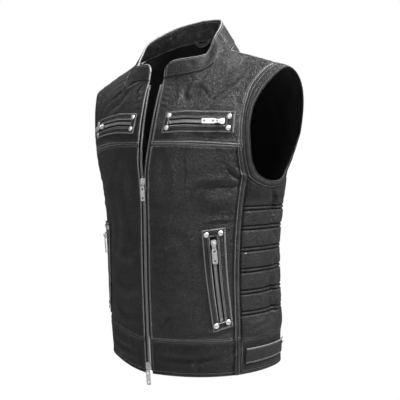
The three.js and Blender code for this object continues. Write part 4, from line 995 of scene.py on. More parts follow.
SIDE_CREASES = [
    ((0.46, -34), (0.52, -64), (0.5, -98), 6, 3.4, 1.0),
    ((0.5, -104), (0.56, -120), (0.5, -138), 5, 2.2, 0.9),
    ((0.56, -162), (0.62, -171), (0.7, -175), 5, 3.0, 0.9),
    ((0.48, -184), (0.54, -234), (0.5, -282), 6, 3.4, 1.0),
    ((0.06, -287), (0.22, -283), (0.42, -277), 4, 1.6, 0.9),
    ((0.26, -110), (0.22, -126), (0.28, -138), 4, 1.1, 0.8),
    ((0.24, -222), (0.3, -240), (0.26, -252), 4, 1.2, 0.8),
    ((0.78, -74), (0.74, -88), (0.8, -98), 4, 1.3, 0.8),
    ((0.82, -184), (0.76, -198), (0.8, -212), 4, 1.2, 0.8),
    ((0.74, -258), (0.8, -276), (0.74, -294), 5, 1.3, 0.8),
]
# The side is taken to be so many millimetres wide where its columns and edges are laid out
SIDE_WIDTH = 100.0
SIDE_LEVELS = filled(
    [HEM_SEAM_H + d for d in SEWN_ONCE["d"]] + [t + dh for t in TUCK_HEIGHTS for dh in TUCK["dh"]]
    + [UNDERARM_SEAM_H - d for d in SEWN_ONCE["d"]], 3)
# The side pieces are darkened a little all over, and with painted shade below the armhole, in its
# shadow
SIDE_DARKENING = {"all": 0.22, "underarm": 0.7, "from": -60, "over": 22}
PUFF = 2.2
for word, sign in SIDES:
    columns = between(TUCKED_UNDER["d"], SEWN_ONCE["d"], SIDE_WIDTH, 34) / SIDE_WIDTH
    u, level = np.meshgrid(columns, SIDE_LEVELS)
    distance = u * SIDE_WIDTH
    up, down = level - HEM_SEAM_H, UNDERARM_SEAM_H - level
    grid = {"p": side_place(sign)(u, level), "along": [up, up, distance, distance], "edges": [
        (TUCKED_UNDER, distance), (SEWN_ONCE, SIDE_WIDTH - distance), (SEWN_ONCE, up),
        (SEWN_ONCE, down)]}
    cord = np.zeros(u.shape)
    puff = np.zeros(u.shape)
    fade = clamp01(np.minimum(distance, SIDE_WIDTH - distance) / 5) ** 0.5
    tuck_wear_and_shade = np.zeros(u.shape)
    for height in TUCK_HEIGHTS:
        off = level - height
        cord += np.interp(off, TUCK["dh"], TUCK["rise"], 0, 0) * mix(0.6, 1, fade)
        tuck_wear_and_shade = join_wear_and_shade(tuck_wear_and_shade, np.interp(off, TUCK["dh"], TUCK["rub"], 0, 0))
    # Painted shade at the top of the side piece, below the armhole
    underarm = clamp01((level - SIDE_DARKENING["from"]) / SIDE_DARKENING["over"])
    tuck_wear_and_shade = join_wear_and_shade(tuck_wear_and_shade, -SIDE_DARKENING["underarm"] * underarm)
    edges_of_rows = [HEM_SEAM_H, *TUCK_HEIGHTS, UNDERARM_SEAM_H]
    for a, b in zip(edges_of_rows[:-1], edges_of_rows[1:]):
        share = clamp01((level - a) / (b - a))
        puff += PUFF * np.sin(math.pi * share) ** 0.8 * mix(0.3, 1, fade)
    side, side_thread = worn_piece(
        f"side_piece_{word}", f"side_{word}", f"side_thread_{word}", grid, SIDE_CREASES,
        flank_at(sign), extra=cord + puff, extra_rub=tuck_wear_and_shade, slack=1.5, lean=-0.8,
        seed=71 + sign, darkening=SIDE_DARKENING["all"])
    runs = []
    for height, dh in product(TUCK_HEIGHTS, TUCK["sewn"]):
        row = int(np.argmin(np.abs(SIDE_LEVELS - height - dh)))
        runs.append((grid["outer"][row, 3:-3], grid["n"][row, 3:-3], 1.0))
    tuck_thread = sew(f"tuck_thread_{word}", runs, black_thread)

# Armhole bands
# A binding strip of thinner black leather, about 12 mm wide, is folded over the edge of each
# armhole and stitched down along both edges. It puckers a little on the tight curves.
# Below 0, the band's wear value is painted shade in its grooves and along its edges
BAND = {"w": [0, 0.03, 0.09, 0.16, 0.22, 0.28, 0.42, 0.58, 0.72, 0.79, 0.85, 0.92, 0.97, 1],
        "rise": [-0.4, 0.4, 1.0, 0.7, -0.3, 0.9, 1.5, 1.5, 0.9, -0.2, 0.8, 0.95, 0.3, -0.5],
        "rub": [-1, 0.1, 0.4, -0.2, -1, -0.4, 0, 0, -0.4, -1, -0.3, 0.3, 0.3, -0.2], "sewn": [4, 9]}
BAND_LEATHER = 2.2
binding = hide_paint("binding_leather", (0.002, 0.002, 0.0022), (0.016, 0.016, 0.0166),
                     (0.27, 0.27, 0.275), shine=0.38, seed=2.1)

BAND_STATIONS = 230


def armhole_stations():
    """Round the armhole from the shoulder down the front, under the arm and up the back."""
    up = 1 - np.linspace(0, 1, 90) ** 2.2
    heights = UNDERARM_SEAM_H + (SHOULDER_RISE - UNDERARM_SEAM_H) * up
    scale = (SHOULDER_RISE - ARMHOLE_BOTTOM["edge_start"]) / (SHOULDER_RISE - UNDERARM_SEAM_H)
    edge_h = SHOULDER_RISE - (SHOULDER_RISE - heights) * scale

    def column(side):
        word = "front" if side < 0 else "back"
        seam = smooth(ARMHOLE, "h", "seam_" + word, heights)
        edge = smooth(ARMHOLE, "h", "edge_" + word, edge_h)
        return np.stack([turn_of_share(seam, heights, side), heights,
                         turn_of_share(edge, edge_h, side), edge_h], -1)

    front, back = column(-1), column(1)[::-1]
    u = np.linspace(0, 1, 40)[1:-1]
    seam_turn, seam_h = underarm_seam(u)
    away = np.abs(2 * u - 1) ** 2.2
    under = np.stack([seam_turn, seam_h, mix(front[-1, 2], back[0, 2], u),
                      mix(ARMHOLE_BOTTOM["edge"], ARMHOLE_BOTTOM["edge_start"], away)], -1)
    table = np.concatenate([front, under, back])
    line = flank_point(mix(table[:, 0], table[:, 2], 0.5), mix(table[:, 1], table[:, 3], 0.5), 1)
    far = run_length(line)
    even = np.linspace(0, far[-1], BAND_STATIONS, endpoint=False)
    return np.stack([np.interp(even, far, table[:, k]) for k in range(4)], -1), even


stations, even = armhole_stations()
w, band_rise, band_wear_and_shade = (np.array(BAND[key])[:, None] for key in ("w", "rise", "rub"))
bow = np.sin(math.pi * w)
for word, sign in SIDES:
    p = flank_point(mix(stations[:, 0], stations[:, 2], w),
                    mix(stations[:, 1], stations[:, 3], w), sign)
    n = outward(p, ring=True)
    pucker = ripple(even, 6, 91 + sign) + 0.7 * ripple(even, 2.9, 95 + sign)
    outer = p + n * (band_rise + 0.28 * pucker * bow + 0.5 * cloud(p, 50, 97))[..., None]
    inner = p + n * (0.4 - BAND_LEATHER + 0.3 * bow)[..., None]
    band = shell(f"armhole_binding_{word}", f"armhole_band_{word}", outer, inner,
                 [binding], band_wear_and_shade, ring=True)
    runs = [(outer[k], n[k], 0) for k in BAND["sewn"]]
    band_thread = sew(f"armhole_thread_{word}", runs, thread)

# Hem band
# A doubled strip closes the bottom, in five lengths that meet at the side seams. It is turned
# up at the hem and stitched above the fold and below the seam that joins it to the body.
HEM_LEATHER = 2.6
HEM_FOLD = {"d": [0, 0.4, 1.1, 2.2, 4.4, 5.8, 6.6, 7.4, 9.5, 13],
            "rise": [-1.5, -0.5, 0.2, 0.7, 0.7, 0.3, -0.6, 0.3, 0.3, 0],
            "rub": [0.3, 1, 0.8, 0.1, 0.1, -0.1, -1, -0.1, 0.2, 0], "sewn": [6.6]}


def hem_back_place(w, v):
    h = mix(HEM_H, HEM_SEAM_H, v)
    return back_at((2 * w - 1) * outer_share(h, 1), h)


def hem_side_place(sign):
    def at(u, v):
        return flank_at(sign)(u, mix(HEM_H, HEM_SEAM_H, v))
    return at


HEM_CREASES = {
    "hem_front_left": [
        ((0.1, -331), (0.44, -336), (0.76, -332), 4.5, 1.5, 0.8),
        ((0.87, -319), (0.82, -330), (0.79, -342), 3.5, 1.6, 0.9),
        ((0.6, -360), (0.56, -346), (0.6, -336), 4, 1.2, 0.8),
        *[((share, -307), (share + 0.01, -313), (share, -321), 2.2, deep, 0.9)
          for share, deep in ((0.11, 1.0), (0.155, 0.7), (0.21, 0.9), (0.29, 0.6), (0.36, 0.8))],
    ],
    "hem_front_right": [
        ((-0.12, -333), (-0.4, -337), (-0.7, -331), 4.5, 1.4, 0.8),
        ((-0.44, -360), (-0.4, -344), 4, 1.1, 0.8),
        *[((share, -307), (share - 0.01, -313), (share, -320), 2.2, deep, 0.9)
          for share, deep in ((-0.13, 0.9), (-0.2, 0.7), (-0.31, 0.9))],
    ],
    "hem_back": [
        ((0.6, -334), (0.3, -338), (0.06, -332), 5, 1.4, 0.8),
        ((-0.7, -330), (-0.4, -337), (-0.2, -333), 5, 1.3, 0.8),
        ((0.4, -360), (0.37, -342), 4, 1.2, 0.8),
        ((-0.15, -360), (-0.12, -344), 4, 1.1, 0.8),
    ],
}
# The hem bands are darkened all over
HEM_DARKENING = 0.45
hem_pieces = [("hem_back", hem_back_place, BUTTED, BUTTED, (0.34, 0.066), "back")]
for word, sign in SIDES:
    hem_pieces.append((f"hem_front_{word}", front_place(sign, HEM_H, HEM_SEAM_H), FOLDED, LAPPED,
                       (0.18, 0.066), f"front_{word}"))
    hem_pieces.append((f"hem_side_{word}", hem_side_place(sign), SEWN_ONCE, BUTTED,
                       (0.148, 0.066), f"side_{word}"))
for k, (name, place, left, right, flat, above) in enumerate(hem_pieces):
    grid = lay_out(place, left, right, HEM_FOLD, SEWN_ONCE)
    hem, hem_thread = worn_piece(
        f"{name}_band", name, f"{name}_thread", grid, HEM_CREASES.get(name, ()),
        back_at if name == "hem_back" else front_at, seed=111 + k, wall=HEM_LEATHER, slack=0.8,
        darkening=HEM_DARKENING)

# Collar
# A standing strip of the same hide, doubled, about 3 mm thick. It is sewn into the neck seam,
# and stitched below its top edge, which is worn grey. Its front corners are rounded.
COLLAR_LEATHER = 3.0
COLLAR_CORNER = {"t": [0, 0.9, 0.95, 0.98, 1], "height": [1, 1, 0.95, 0.8, 0.5]}
COLLAR_FOOT = {"d": [0, 0.5, 1.2, 2.2, 4], "rise": [-0.6, 0, 0.3, 0.15, 0],
               "rub": [-1, -0.3, 0.7, 0.1, 0], "sewn": []}
COLLAR_TOP = {"d": [0, 0.35, 0.9, 1.8, 3.2, 4.3, 5.1, 5.9, 8],
              "rise": [-1.35, -0.7, -0.15, 0.2, 0.25, 0.1, -0.45, 0.1, 0],
              "rub": [1.9, 1.9, 1.8, 1.0, 0.2, 0, -1, 0, 0], "sewn": [5.1]}
COLLAR_END = {**COLLAR_TOP, "rub": [1.8, 1.8, 1.6, 0.8, 0.1, 0, -1, 0, 0]}
# The outside of the collar is darkened all over
COLLAR_DARKENING = 0.45


def around_neck(share, rise):
    """A place on the collar: rise is 0 at the neck seam and 1 at the top edge."""
    foot = neck_line(share)
    return foot + (neck_line(share, top=True) - foot) * rise


def collar_place(w, v):
    share = 2 * w - 1
    height = smooth(COLLAR_CORNER, "t", "height", np.abs(share))
    return around_neck(share, (v * height)[..., None])


COLLAR_CREASES = [
    ((0.6, 0.9), (0.68, 0.5), (0.78, 0.25), 6, 2.2, 1.0),
    ((0.5, 0.95), (0.53, 0.45), 6, 1.8, 0.9),
    ((-0.55, 0.9), (-0.62, 0.35), 6, 1.8, 0.9),
    ((0.86, 0.8), (0.82, 0.3), 5, 1.0, 0.9),
    ((-0.8, 0.85), (-0.74, 0.3), 5, 1.2, 0.9),
    ((0.18, 0.9), (0.22, 0.3), 7, 1.0, 0.8),
    ((-0.25, 0.9), (-0.2, 0.3), 7, 1.1, 0.8),
]
grid = lay_out(collar_place, COLLAR_END, COLLAR_END, COLLAR_FOOT, COLLAR_TOP, pitch=2.6)
p = grid["p"]
n = unit(np.cross(np.gradient(p, axis=1), np.gradient(p, axis=0)))
if (n[..., :2] * (p[..., :2] + np.array([0, 10]))).sum() < 0:
    n = -n
push, rub = creased(p, n, COLLAR_CREASES, around_neck)
push += 0.5 * cloud(p, 30, 141) + 0.25 * cloud(p, 11, 142)
crinkle = 0.7 * np.abs(cloud(p, 13, 143)) + 0.4 * np.abs(cloud(p, 6, 144))
rise, rub = edge_relief(grid, rub)
rise = np.maximum(rise, -1.4) + COLLAR_LEATHER / 2
# Away from its edges, the inside is crinkled, and painted pale on the crinkles: wear mottling that
# also stands in for light on the inside
held_edge = np.min([clamp01((d - 5) / 5) for _, d in grid["edges"]], axis=0)
outer = p + n * (push + rise)[..., None]
inner = p + n * (push - rise + (crinkle - 0.5) * held_edge)[..., None]
inner_rub = join_wear_and_shade(rub, held_edge * np.maximum(0, 0.42 - 0.45 * crinkle))
collar = shell("stand_collar", "collar", outer, inner, [leather], rub - COLLAR_DARKENING,
               inner_rub)
collar_runs = thread_runs(grid, outer, n) + thread_runs(grid, inner, -n)
collar_thread = sew("collar_thread", collar_runs, thread)

# Main zip
# A two-way metal zip: a woven tape behind each front edge, with cast teeth clamped on its free
# edge. It is open from the chest up, and closed between its two nickel sliders.
TAPE = {"width": 13, "thick": 1.2, "under": -3.3}
TEETH_WIDTH = 3.0
TEETH_INSET = 4.05
TOOTH_PITCH = 3.8
TAPE_FROM_H = -360
TAPE_TO_H = 158
tape_cloth = woven_paint("zip_tape_cloth", (0.006, 0.006, 0.0065), across=260, shine=0.85)


def metal_paint(name, colour, shine, wear):
    """Plated metal: bright, with fine scratches and slightly cloudy patches."""
    paint = Paint(name)
    cloudy = paint.noise(paint.where, 240, 4, 0.6).outputs["Fac"]
    scratch = paint.noise(paint.where, 900, 3, distortion=0.6).outputs["Fac"]
    tint = paint.ramp(cloudy, (0.3, tinted(colour, 0.72)), (0.62, colour))
    gloss = paint.ranged(cloudy, 0.3, 0.7, shine, shine + wear)
    return paint.finished(tint, gloss, Normal=paint.bump(scratch, 0.12, 0.0002), Metallic=1)


nickel = metal_paint("bright_nickel", (0.94, 0.94, 0.95), shine=0.36, wear=0.14)
zinc = metal_paint("grey_zip_metal", (0.62, 0.62, 0.63), shine=0.34, wear=0.2)

TOOTH_OUTLINE = [(0, -0.55), (0.35, -1.0), (1.15, -1.0), (1.5, -0.7), (2.9, -1.1), (3.2, -0.8),
                 (3.2, 0.8), (2.9, 1.1), (1.5, 0.7), (1.15, 1.0), (0.35, 1.0), (0, 0.55)]
# The layers of a tooth: its height and its size, as shares
TOOTH_LAYERS = [(-0.5, 0.8), (-0.35, 1), (0.35, 1), (0.5, 0.8)]


def metal_piece(name, places, faces, paint, body="vest", node_name=None, sharp_from=0):
    """A metal piece from places in metres. It is shaded smooth up to an angle in degrees."""
    data = bpy.data.meshes.new(name)
    data.from_pydata(places, [], faces)
    if sharp_from:
        data.polygons.foreach_set("use_smooth", np.ones(len(faces), dtype=bool))
        data.set_sharp_from_angle(angle=math.radians(sharp_from))
    data.update()
    piece = set_down(name, data, [paint])
    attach(piece, body)
    if node_name:
        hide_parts(node_name)
    return piece


def teeth_piece(name, rows, thick):
    """Cast teeth in one mesh. Each row is (places, inwards, along, outwards) for every tooth."""
    outline = np.array(TOOTH_OUTLINE)
    centre = outline.mean(axis=0)
    count = len(outline)
    places, faces = [], []
    for q, a, b, c in (tooth for row in rows for tooth in zip(*row)):
        first = len(places)
        for level, share in TOOTH_LAYERS:
            for x, y in (outline - centre) * share + centre:
                places.append(Vector(q + a * x + b * y + c * level * thick) * MM)
        for k, m in product(range(len(TOOTH_LAYERS) - 1), range(count)):
            s, after = first + k * count, (m + 1) % count
            faces.append((s + m, s + after, s + count + after, s + count + m))
        faces.append(tuple(first + m for m in reversed(range(count))))
        faces.append(tuple(first + 3 * count + m for m in range(count)))
    return metal_piece(name, places, faces, zinc)


def tape_place(sign, offset, h):
    """A place on a zip tape: so many millimetres from its teeth's tips."""
    p = front_at(sign * zip_share(h, sign, offset - TEETH_INSET), h)
    top_h = np.array(float(FRONT_NECK["h"][0]))
    top = front_at(sign * zip_share(top_h, sign), top_h)
    rise = clamp01((h - NECK_DRAW_FROM) / (top_h - NECK_DRAW_FROM)) ** 2
    return p + (neck_line(sign * 1.0) - top) * rise[..., None]


TAPE_COLUMNS = [1.6, 2.2, 3.2, 4.2, 6, 8, 10, 12, TAPE["width"]]
TAPE_RIB = np.array([0, 0.35, 0.35, 0, 0, 0, 0, 0, 0])
TEETH_SEAT = {"above": 1.6, "overlap": 0.45, "thick": 3.4}
for word, sign in SIDES:
    p = tape_place(sign, *np.meshgrid(TAPE_COLUMNS, np.linspace(TAPE_FROM_H, TAPE_TO_H, 170)))
    n = outward(p)
    outer = p + n * (TAPE["under"] + TAPE_RIB)[:, None]
    inner = p + n * (TAPE["under"] - TAPE["thick"])
    tape = shell(f"zip_cloth_{word}", f"zip_tape_{word}", outer, inner, [tape_cloth])
    levels = np.linspace(TAPE_FROM_H + 3, TAPE_TO_H - 2, 900)
    far = run_length(tape_place(sign, 0, levels))
    spots = np.arange(0 if sign > 0 else TOOTH_PITCH / 2, far[-1], TOOTH_PITCH)
    level = np.interp(spots, far, levels)
    tip = tape_place(sign, 0, level)
    inwards = unit(tape_place(sign, TEETH_WIDTH, level) - tip)
    along = unit(tape_place(sign, 1, level + 1) - tape_place(sign, 1, level - 1))
    out = unit(np.cross(inwards, along))
    out *= np.where(out[:, 1] < 0, 1, -1)[:, None]
    seat = tip + out * (TAPE["under"] + TEETH_SEAT["above"]) - inwards * TEETH_SEAT["overlap"]
    teeth = teeth_piece(f"zip_teeth_{word}", [(seat, inwards, along, out)], TEETH_SEAT["thick"])

# Sliders and pull tabs
# Cast nickel sliders with a bridge, and stamped pull tabs hooked under it by a square eye. The
# tabs swing on the bridge, so each rides on its own body of the frame.
SLIDER = {"length": 13, "width": 10, "thick": 3.2, "bridge_width": 2.4, "bridge_bar": 1.2,
          "clear": 2.4}
BRIDGE = {"length": 7.2, "post": 1.5}
TAB = {"length": 36, "width": 9.6, "neck": 6.8, "thick": 1.4, "eye_width": 4, "eye_length": 7.4,
       "bar": 1.2, "upper_hole": 2.3, "lower_hole": 2.2}
TAB_TILT = 2
MAIN_SLIDER_H = -12
LOWER_SLIDER_H = -350
MAIN_SLIDER_LIFT = 0.3


def stamped(outlines, thick, bevel):
    """A flat stamped plate with rounded edges: outer outline first, then its holes, in mm."""
    curve = bpy.data.curves.new("stamped", "CURVE")
    curve.dimensions = "2D"
    curve.fill_mode = "BOTH"
    curve.extrude = (thick / 2 - bevel) * MM
    curve.bevel_depth = bevel * MM
    curve.bevel_resolution = 2
    curve.offset = -bevel * MM
    for outline in outlines:
        spline = curve.splines.new("POLY")
        spline.points.add(len(outline) - 1)
        for point, (x, y) in zip(spline.points, outline):
            point.co = (x * MM, y * MM, 0, 1)
        spline.use_cyclic_u = True
    helper = set_down("stamped", curve, [])
    bpy.context.view_layer.update()
    made = bpy.data.meshes.new_from_object(
        helper.evaluated_get(bpy.context.evaluated_depsgraph_get()))
    bpy.data.objects.remove(helper)
    return made


def rounded(corners, radius, steps=4):
    """An outline with rounded corners."""
    points = []
    count = len(corners)
    for k, corner in enumerate(corners):
        q = Vector(corner)
        before = Vector(corners[k - 1]) - q
        after = Vector(corners[(k + 1) % count]) - q
        r = min(radius, before.length / 2.2, after.length / 2.2)
        start, end = q + before.normalized() * r, q + after.normalized() * r
        for m in range(steps + 1):
            t = m / steps
            points.append(tuple(start * (1 - t) ** 2 + q * 2 * t * (1 - t) + end * t * t))
    return points


def circle(x, radius, steps=20):
    turns = [2 * math.pi * k / steps for k in range(steps)]
    return [(x + radius * math.cos(a), radius * math.sin(a)) for a in turns]


def raised(height):
    return Matrix.Translation((0, 0, height * MM))


def plated_piece(name, parts, seat, body, node_name):
    """Stamped parts joined into one nickel piece and set on its seat."""
    places, faces = [], []
    for mesh, turn in parts:
        first = len(places)
        places += [seat @ turn @ v.co for v in mesh.vertices]
        faces += [tuple(first + k for k in polygon.vertices) for polygon in mesh.polygons]
    return metal_piece(name, places, faces, nickel, body, node_name, sharp_from=38)


def slider_parts():
    half, wide, thick = SLIDER["length"] / 2, SLIDER["width"] / 2, SLIDER["thick"]
    shield = [(-half, -wide + 1.5), (-half + 1.6, -wide), (-half + 6, -wide), (half, -wide + 2),
              (half, wide - 2), (-half + 6, wide), (-half + 1.6, wide), (-half, wide - 1.5)]
    foot, long, clear, post = -0.6, BRIDGE["length"] / 2, SLIDER["clear"], BRIDGE["post"]
    high = clear + SLIDER["bridge_bar"]
    arch = [(-long, foot), (-long + post, foot), (-long + post, clear), (long - post, clear),
            (long - post, foot), (long, foot), (long, high - 0.8), (long - 0.8, high),
            (-long + 0.8, high), (-long, high - 0.8)]
    plate = stamped([rounded(shield, 1.4)], thick * 0.42, 0.45)
    filling = stamped([rounded([(x * 0.7, y * 0.62) for x, y in shield], 1.0)], thick * 0.7, 0.1)
    bow = stamped([rounded(arch, 0.5, 3)], SLIDER["bridge_width"], 0.35)
    upright = raised(thick) @ Matrix.Rotation(math.pi / 2, 4, "X")
    return [(plate, raised(thick * 0.21)), (plate, raised(thick * 0.79)),
            (filling, raised(thick * 0.5)), (bow, upright)]


def tab_parts():
    start = -TAB["bar"] / 2
    end = start + TAB["length"]
    neck, wide = TAB["neck"] / 2, TAB["width"] / 2
    outline = [(start, -neck), (start + 9, -neck), (start + 13, -wide), (end, -wide), (end, wide),
               (start + 13, wide), (start + 9, neck), (start, neck)]
    bar, eye = TAB["bar"] / 2, TAB["eye_width"] / 2
    far = bar + TAB["eye_length"]
    holes = [rounded([(bar, -eye), (bar, eye), (far, eye), (far, -eye)], 0.6, 2),
             circle(start + 14.5, TAB["upper_hole"]), circle(end - 5, TAB["lower_hole"])]
    return [(stamped([rounded(outline, 1.6), *holes], TAB["thick"], 0.3), Matrix.Identity(4))]


def seat_frame(p, tip, n):
    """A seat on the leather in metres: x along the zip to the tab's tip, z out of the vest."""
    x = Vector(tip - p).normalized()
    y = Vector(n).cross(x).normalized()
    z = x.cross(y).normalized()
    frame_of_seat = Matrix((x, y, z)).transposed().to_4x4()
    frame_of_seat.translation = Vector(p) * MM
    return frame_of_seat


def normal_at(place, u, v, du, dv):
    """The direction out of a surface at one or more of its places."""
    n = unit(np.cross(place(u + du, v) - place(u - du, v), place(u, v + dv) - place(u, v - dv)))
    inwards = (n[..., :2] * (place(u, v)[..., :2] - [0, MIDDLE_Y])).sum(-1, keepdims=True) < 0
    return np.where(inwards, -n, n)


def add_slider(name, p, tip, n, lift):
    seat = seat_frame(p, tip, n)
    seat.translation += seat.to_3x3().col[2] * lift * MM
    plated_piece(f"{name}_slider_body", slider_parts(), seat, "vest", f"{name}_slider")
    hang = raised(SLIDER["thick"] + SLIDER["clear"] / 2)
    tilt = Matrix.Rotation(math.radians(TAB_TILT), 4, "Y")
    plated_piece(f"{name}_pull_tab", tab_parts(), seat @ hang @ tilt, f"{name}_tab", f"{name}_tab")


for name, height in (("main_zip", MAIN_SLIDER_H), ("lower_zip", LOWER_SLIDER_H)):
    add_slider(name, front_at(0, height), front_at(0, height - 26),
               normal_at(front_at, 0, height, 0.002, 0.6), MAIN_SLIDER_LIFT)

# Pocket patches
# Four leather patches lie on the fronts and yokes, held by a domed rivet near each corner and a
# line of stitches. A slot in each, with rolled lips, opens over a short metal zip.
PATCH = {"leather": 1.8, "seat": 0.4}
RIVET = {"radius": 4.75, "rise": 2.6}
STRIP = {"margin": 0.012, "low": 0.38, "high": 0.62, "top": 0.8}
# Below 0, a patch's wear value is painted shadow along its lifted outer edge and painted shade in
# its stitch groove
PATCH_EDGE = {"d": [0, 0.5, 1.1, 1.7, 2.4, 3.1, 5], "rise": [-1.1, -0.1, 0.3, 0.1, -0.5, 0.1, 0],
              "rub": [-1, 0.7, 1, -0.1, -1, -0.1, 0], "sewn": [2.4]}
LIP = {"d": [0, 0.4, 1.1, 2.0, 2.8, 3.5, 4.2, 6], "rise": [-0.8, 0.4, 1.2, 1.1, 0.5, -0.4, 0.3, 0],
       "rub": [0.2, 1, 0.9, 0.2, -0.1, -1, -0.1, 0], "sewn": [3.5]}
CHEST_RIVETS = [(0.07, 0.8), (0.07, 0.24), (0.93, 0.76), (0.93, 0.22)]
PATCHES = {
    "chest_pocket_left": {
        "sign": 1, "corners": [(0.172, 69), (0.772, 80), (0.742, 122), (0.178, 106)],
        "slot": (0.085, 0.9, 0.34, 0.66), "slider": 0.845, "pull": 0.45, "flat": (0.134, 0.041),
        "rivets": CHEST_RIVETS, "on": "yoke_left"},
    "chest_pocket_right": {
        "sign": -1, "corners": [(0.148, 71), (0.765, 80), (0.735, 122), (0.13, 107)],
        "slot": (0.085, 0.9, 0.34, 0.66), "slider": 0.77, "pull": 1.1, "flat": (0.138, 0.041),
        "rivets": CHEST_RIVETS, "on": "yoke_right"},
}
for word, sign in SIDES:
    PATCHES[f"lower_pocket_{word}"] = {
        "sign": sign, "corners": [(0.713, -285), (0.619, -102), (0.805, -98), (0.856, -275)],
        "slot": (0.075, 0.925, 0.34, 0.66), "slider": 0.855, "pull": 0.5, "flat": (0.185, 0.044),
        "rivets": [(0.055, 0.2), (0.055, 0.8), (0.95, 0.2), (0.95, 0.8)], "on": f"front_{word}"}


def patch_place(patch, u, v):
    a, b, c, d = (np.array(q, float) for q in patch["corners"])
    u, v = (each[..., None] for each in np.broadcast_arrays(np.asarray(u, float), v))
    q = mix(mix(a, b, u), mix(d, c, u), v)
    return front_at(patch["sign"] * q[..., 0], q[..., 1])


def patch_normal(patch, u, v):
    return normal_at(lambda *q: patch_place(patch, *q), u, v, 0.01, 0.02)


def ruled(length, cuts, pitch):
    """Distances along a patch: close beside its edges and its slot, even elsewhere."""
    near, lip = np.array(PATCH_EDGE["d"]), np.array(LIP["d"])
    beside = [near, length - near, cuts[0] - lip, cuts[1] + lip, [cuts[0] + 0.01, cuts[1] - 0.01]]
    marks = np.round(np.concatenate(beside), 3)
    return filled(marks[(marks >= 0) & (marks <= length)], pitch)


# The rings of a domed cap from its rim up: its radius and its height, as shares
DOME_RINGS = [(0.99, 0), (1, 0.12), (0.97, 0.24), (0.9, 0.36), (0.86, 0.4), (0.8, 0.55),
              (0.66, 0.76), (0.45, 0.92), (0.2, 0.99)]
DOME_SIDES = 28


def dome_piece(name, node_name, size, p, n, lift):
    """A turned and domed metal cap with a rolled rim."""
    r, rise = size["radius"], size["rise"]
    turn = Vector((0, 0, 1)).rotation_difference(Vector(n))
    seat = Vector(p + n * lift)
    angles = [2 * math.pi * m / DOME_SIDES for m in range(DOME_SIDES)]
    spots = [Vector((out * r * math.cos(a), out * r * math.sin(a), up * rise))
             for out, up in DOME_RINGS for a in angles]
    places = [(seat + turn @ spot) * MM for spot in [*spots, Vector((0, 0, rise))]]
    around = [(m, (m + 1) % DOME_SIDES) for m in range(DOME_SIDES)]
    last = len(spots) - DOME_SIDES
    faces = [(k + a, k + b, k + DOME_SIDES + b, k + DOME_SIDES + a)
             for k in range(0, last, DOME_SIDES) for a, b in around]
    faces.append(tuple(reversed(range(DOME_SIDES))))
    faces += [(last + a, last + b, len(spots)) for a, b in around]
    return metal_piece(name, places, faces, nickel, node_name=node_name, sharp_from=180)


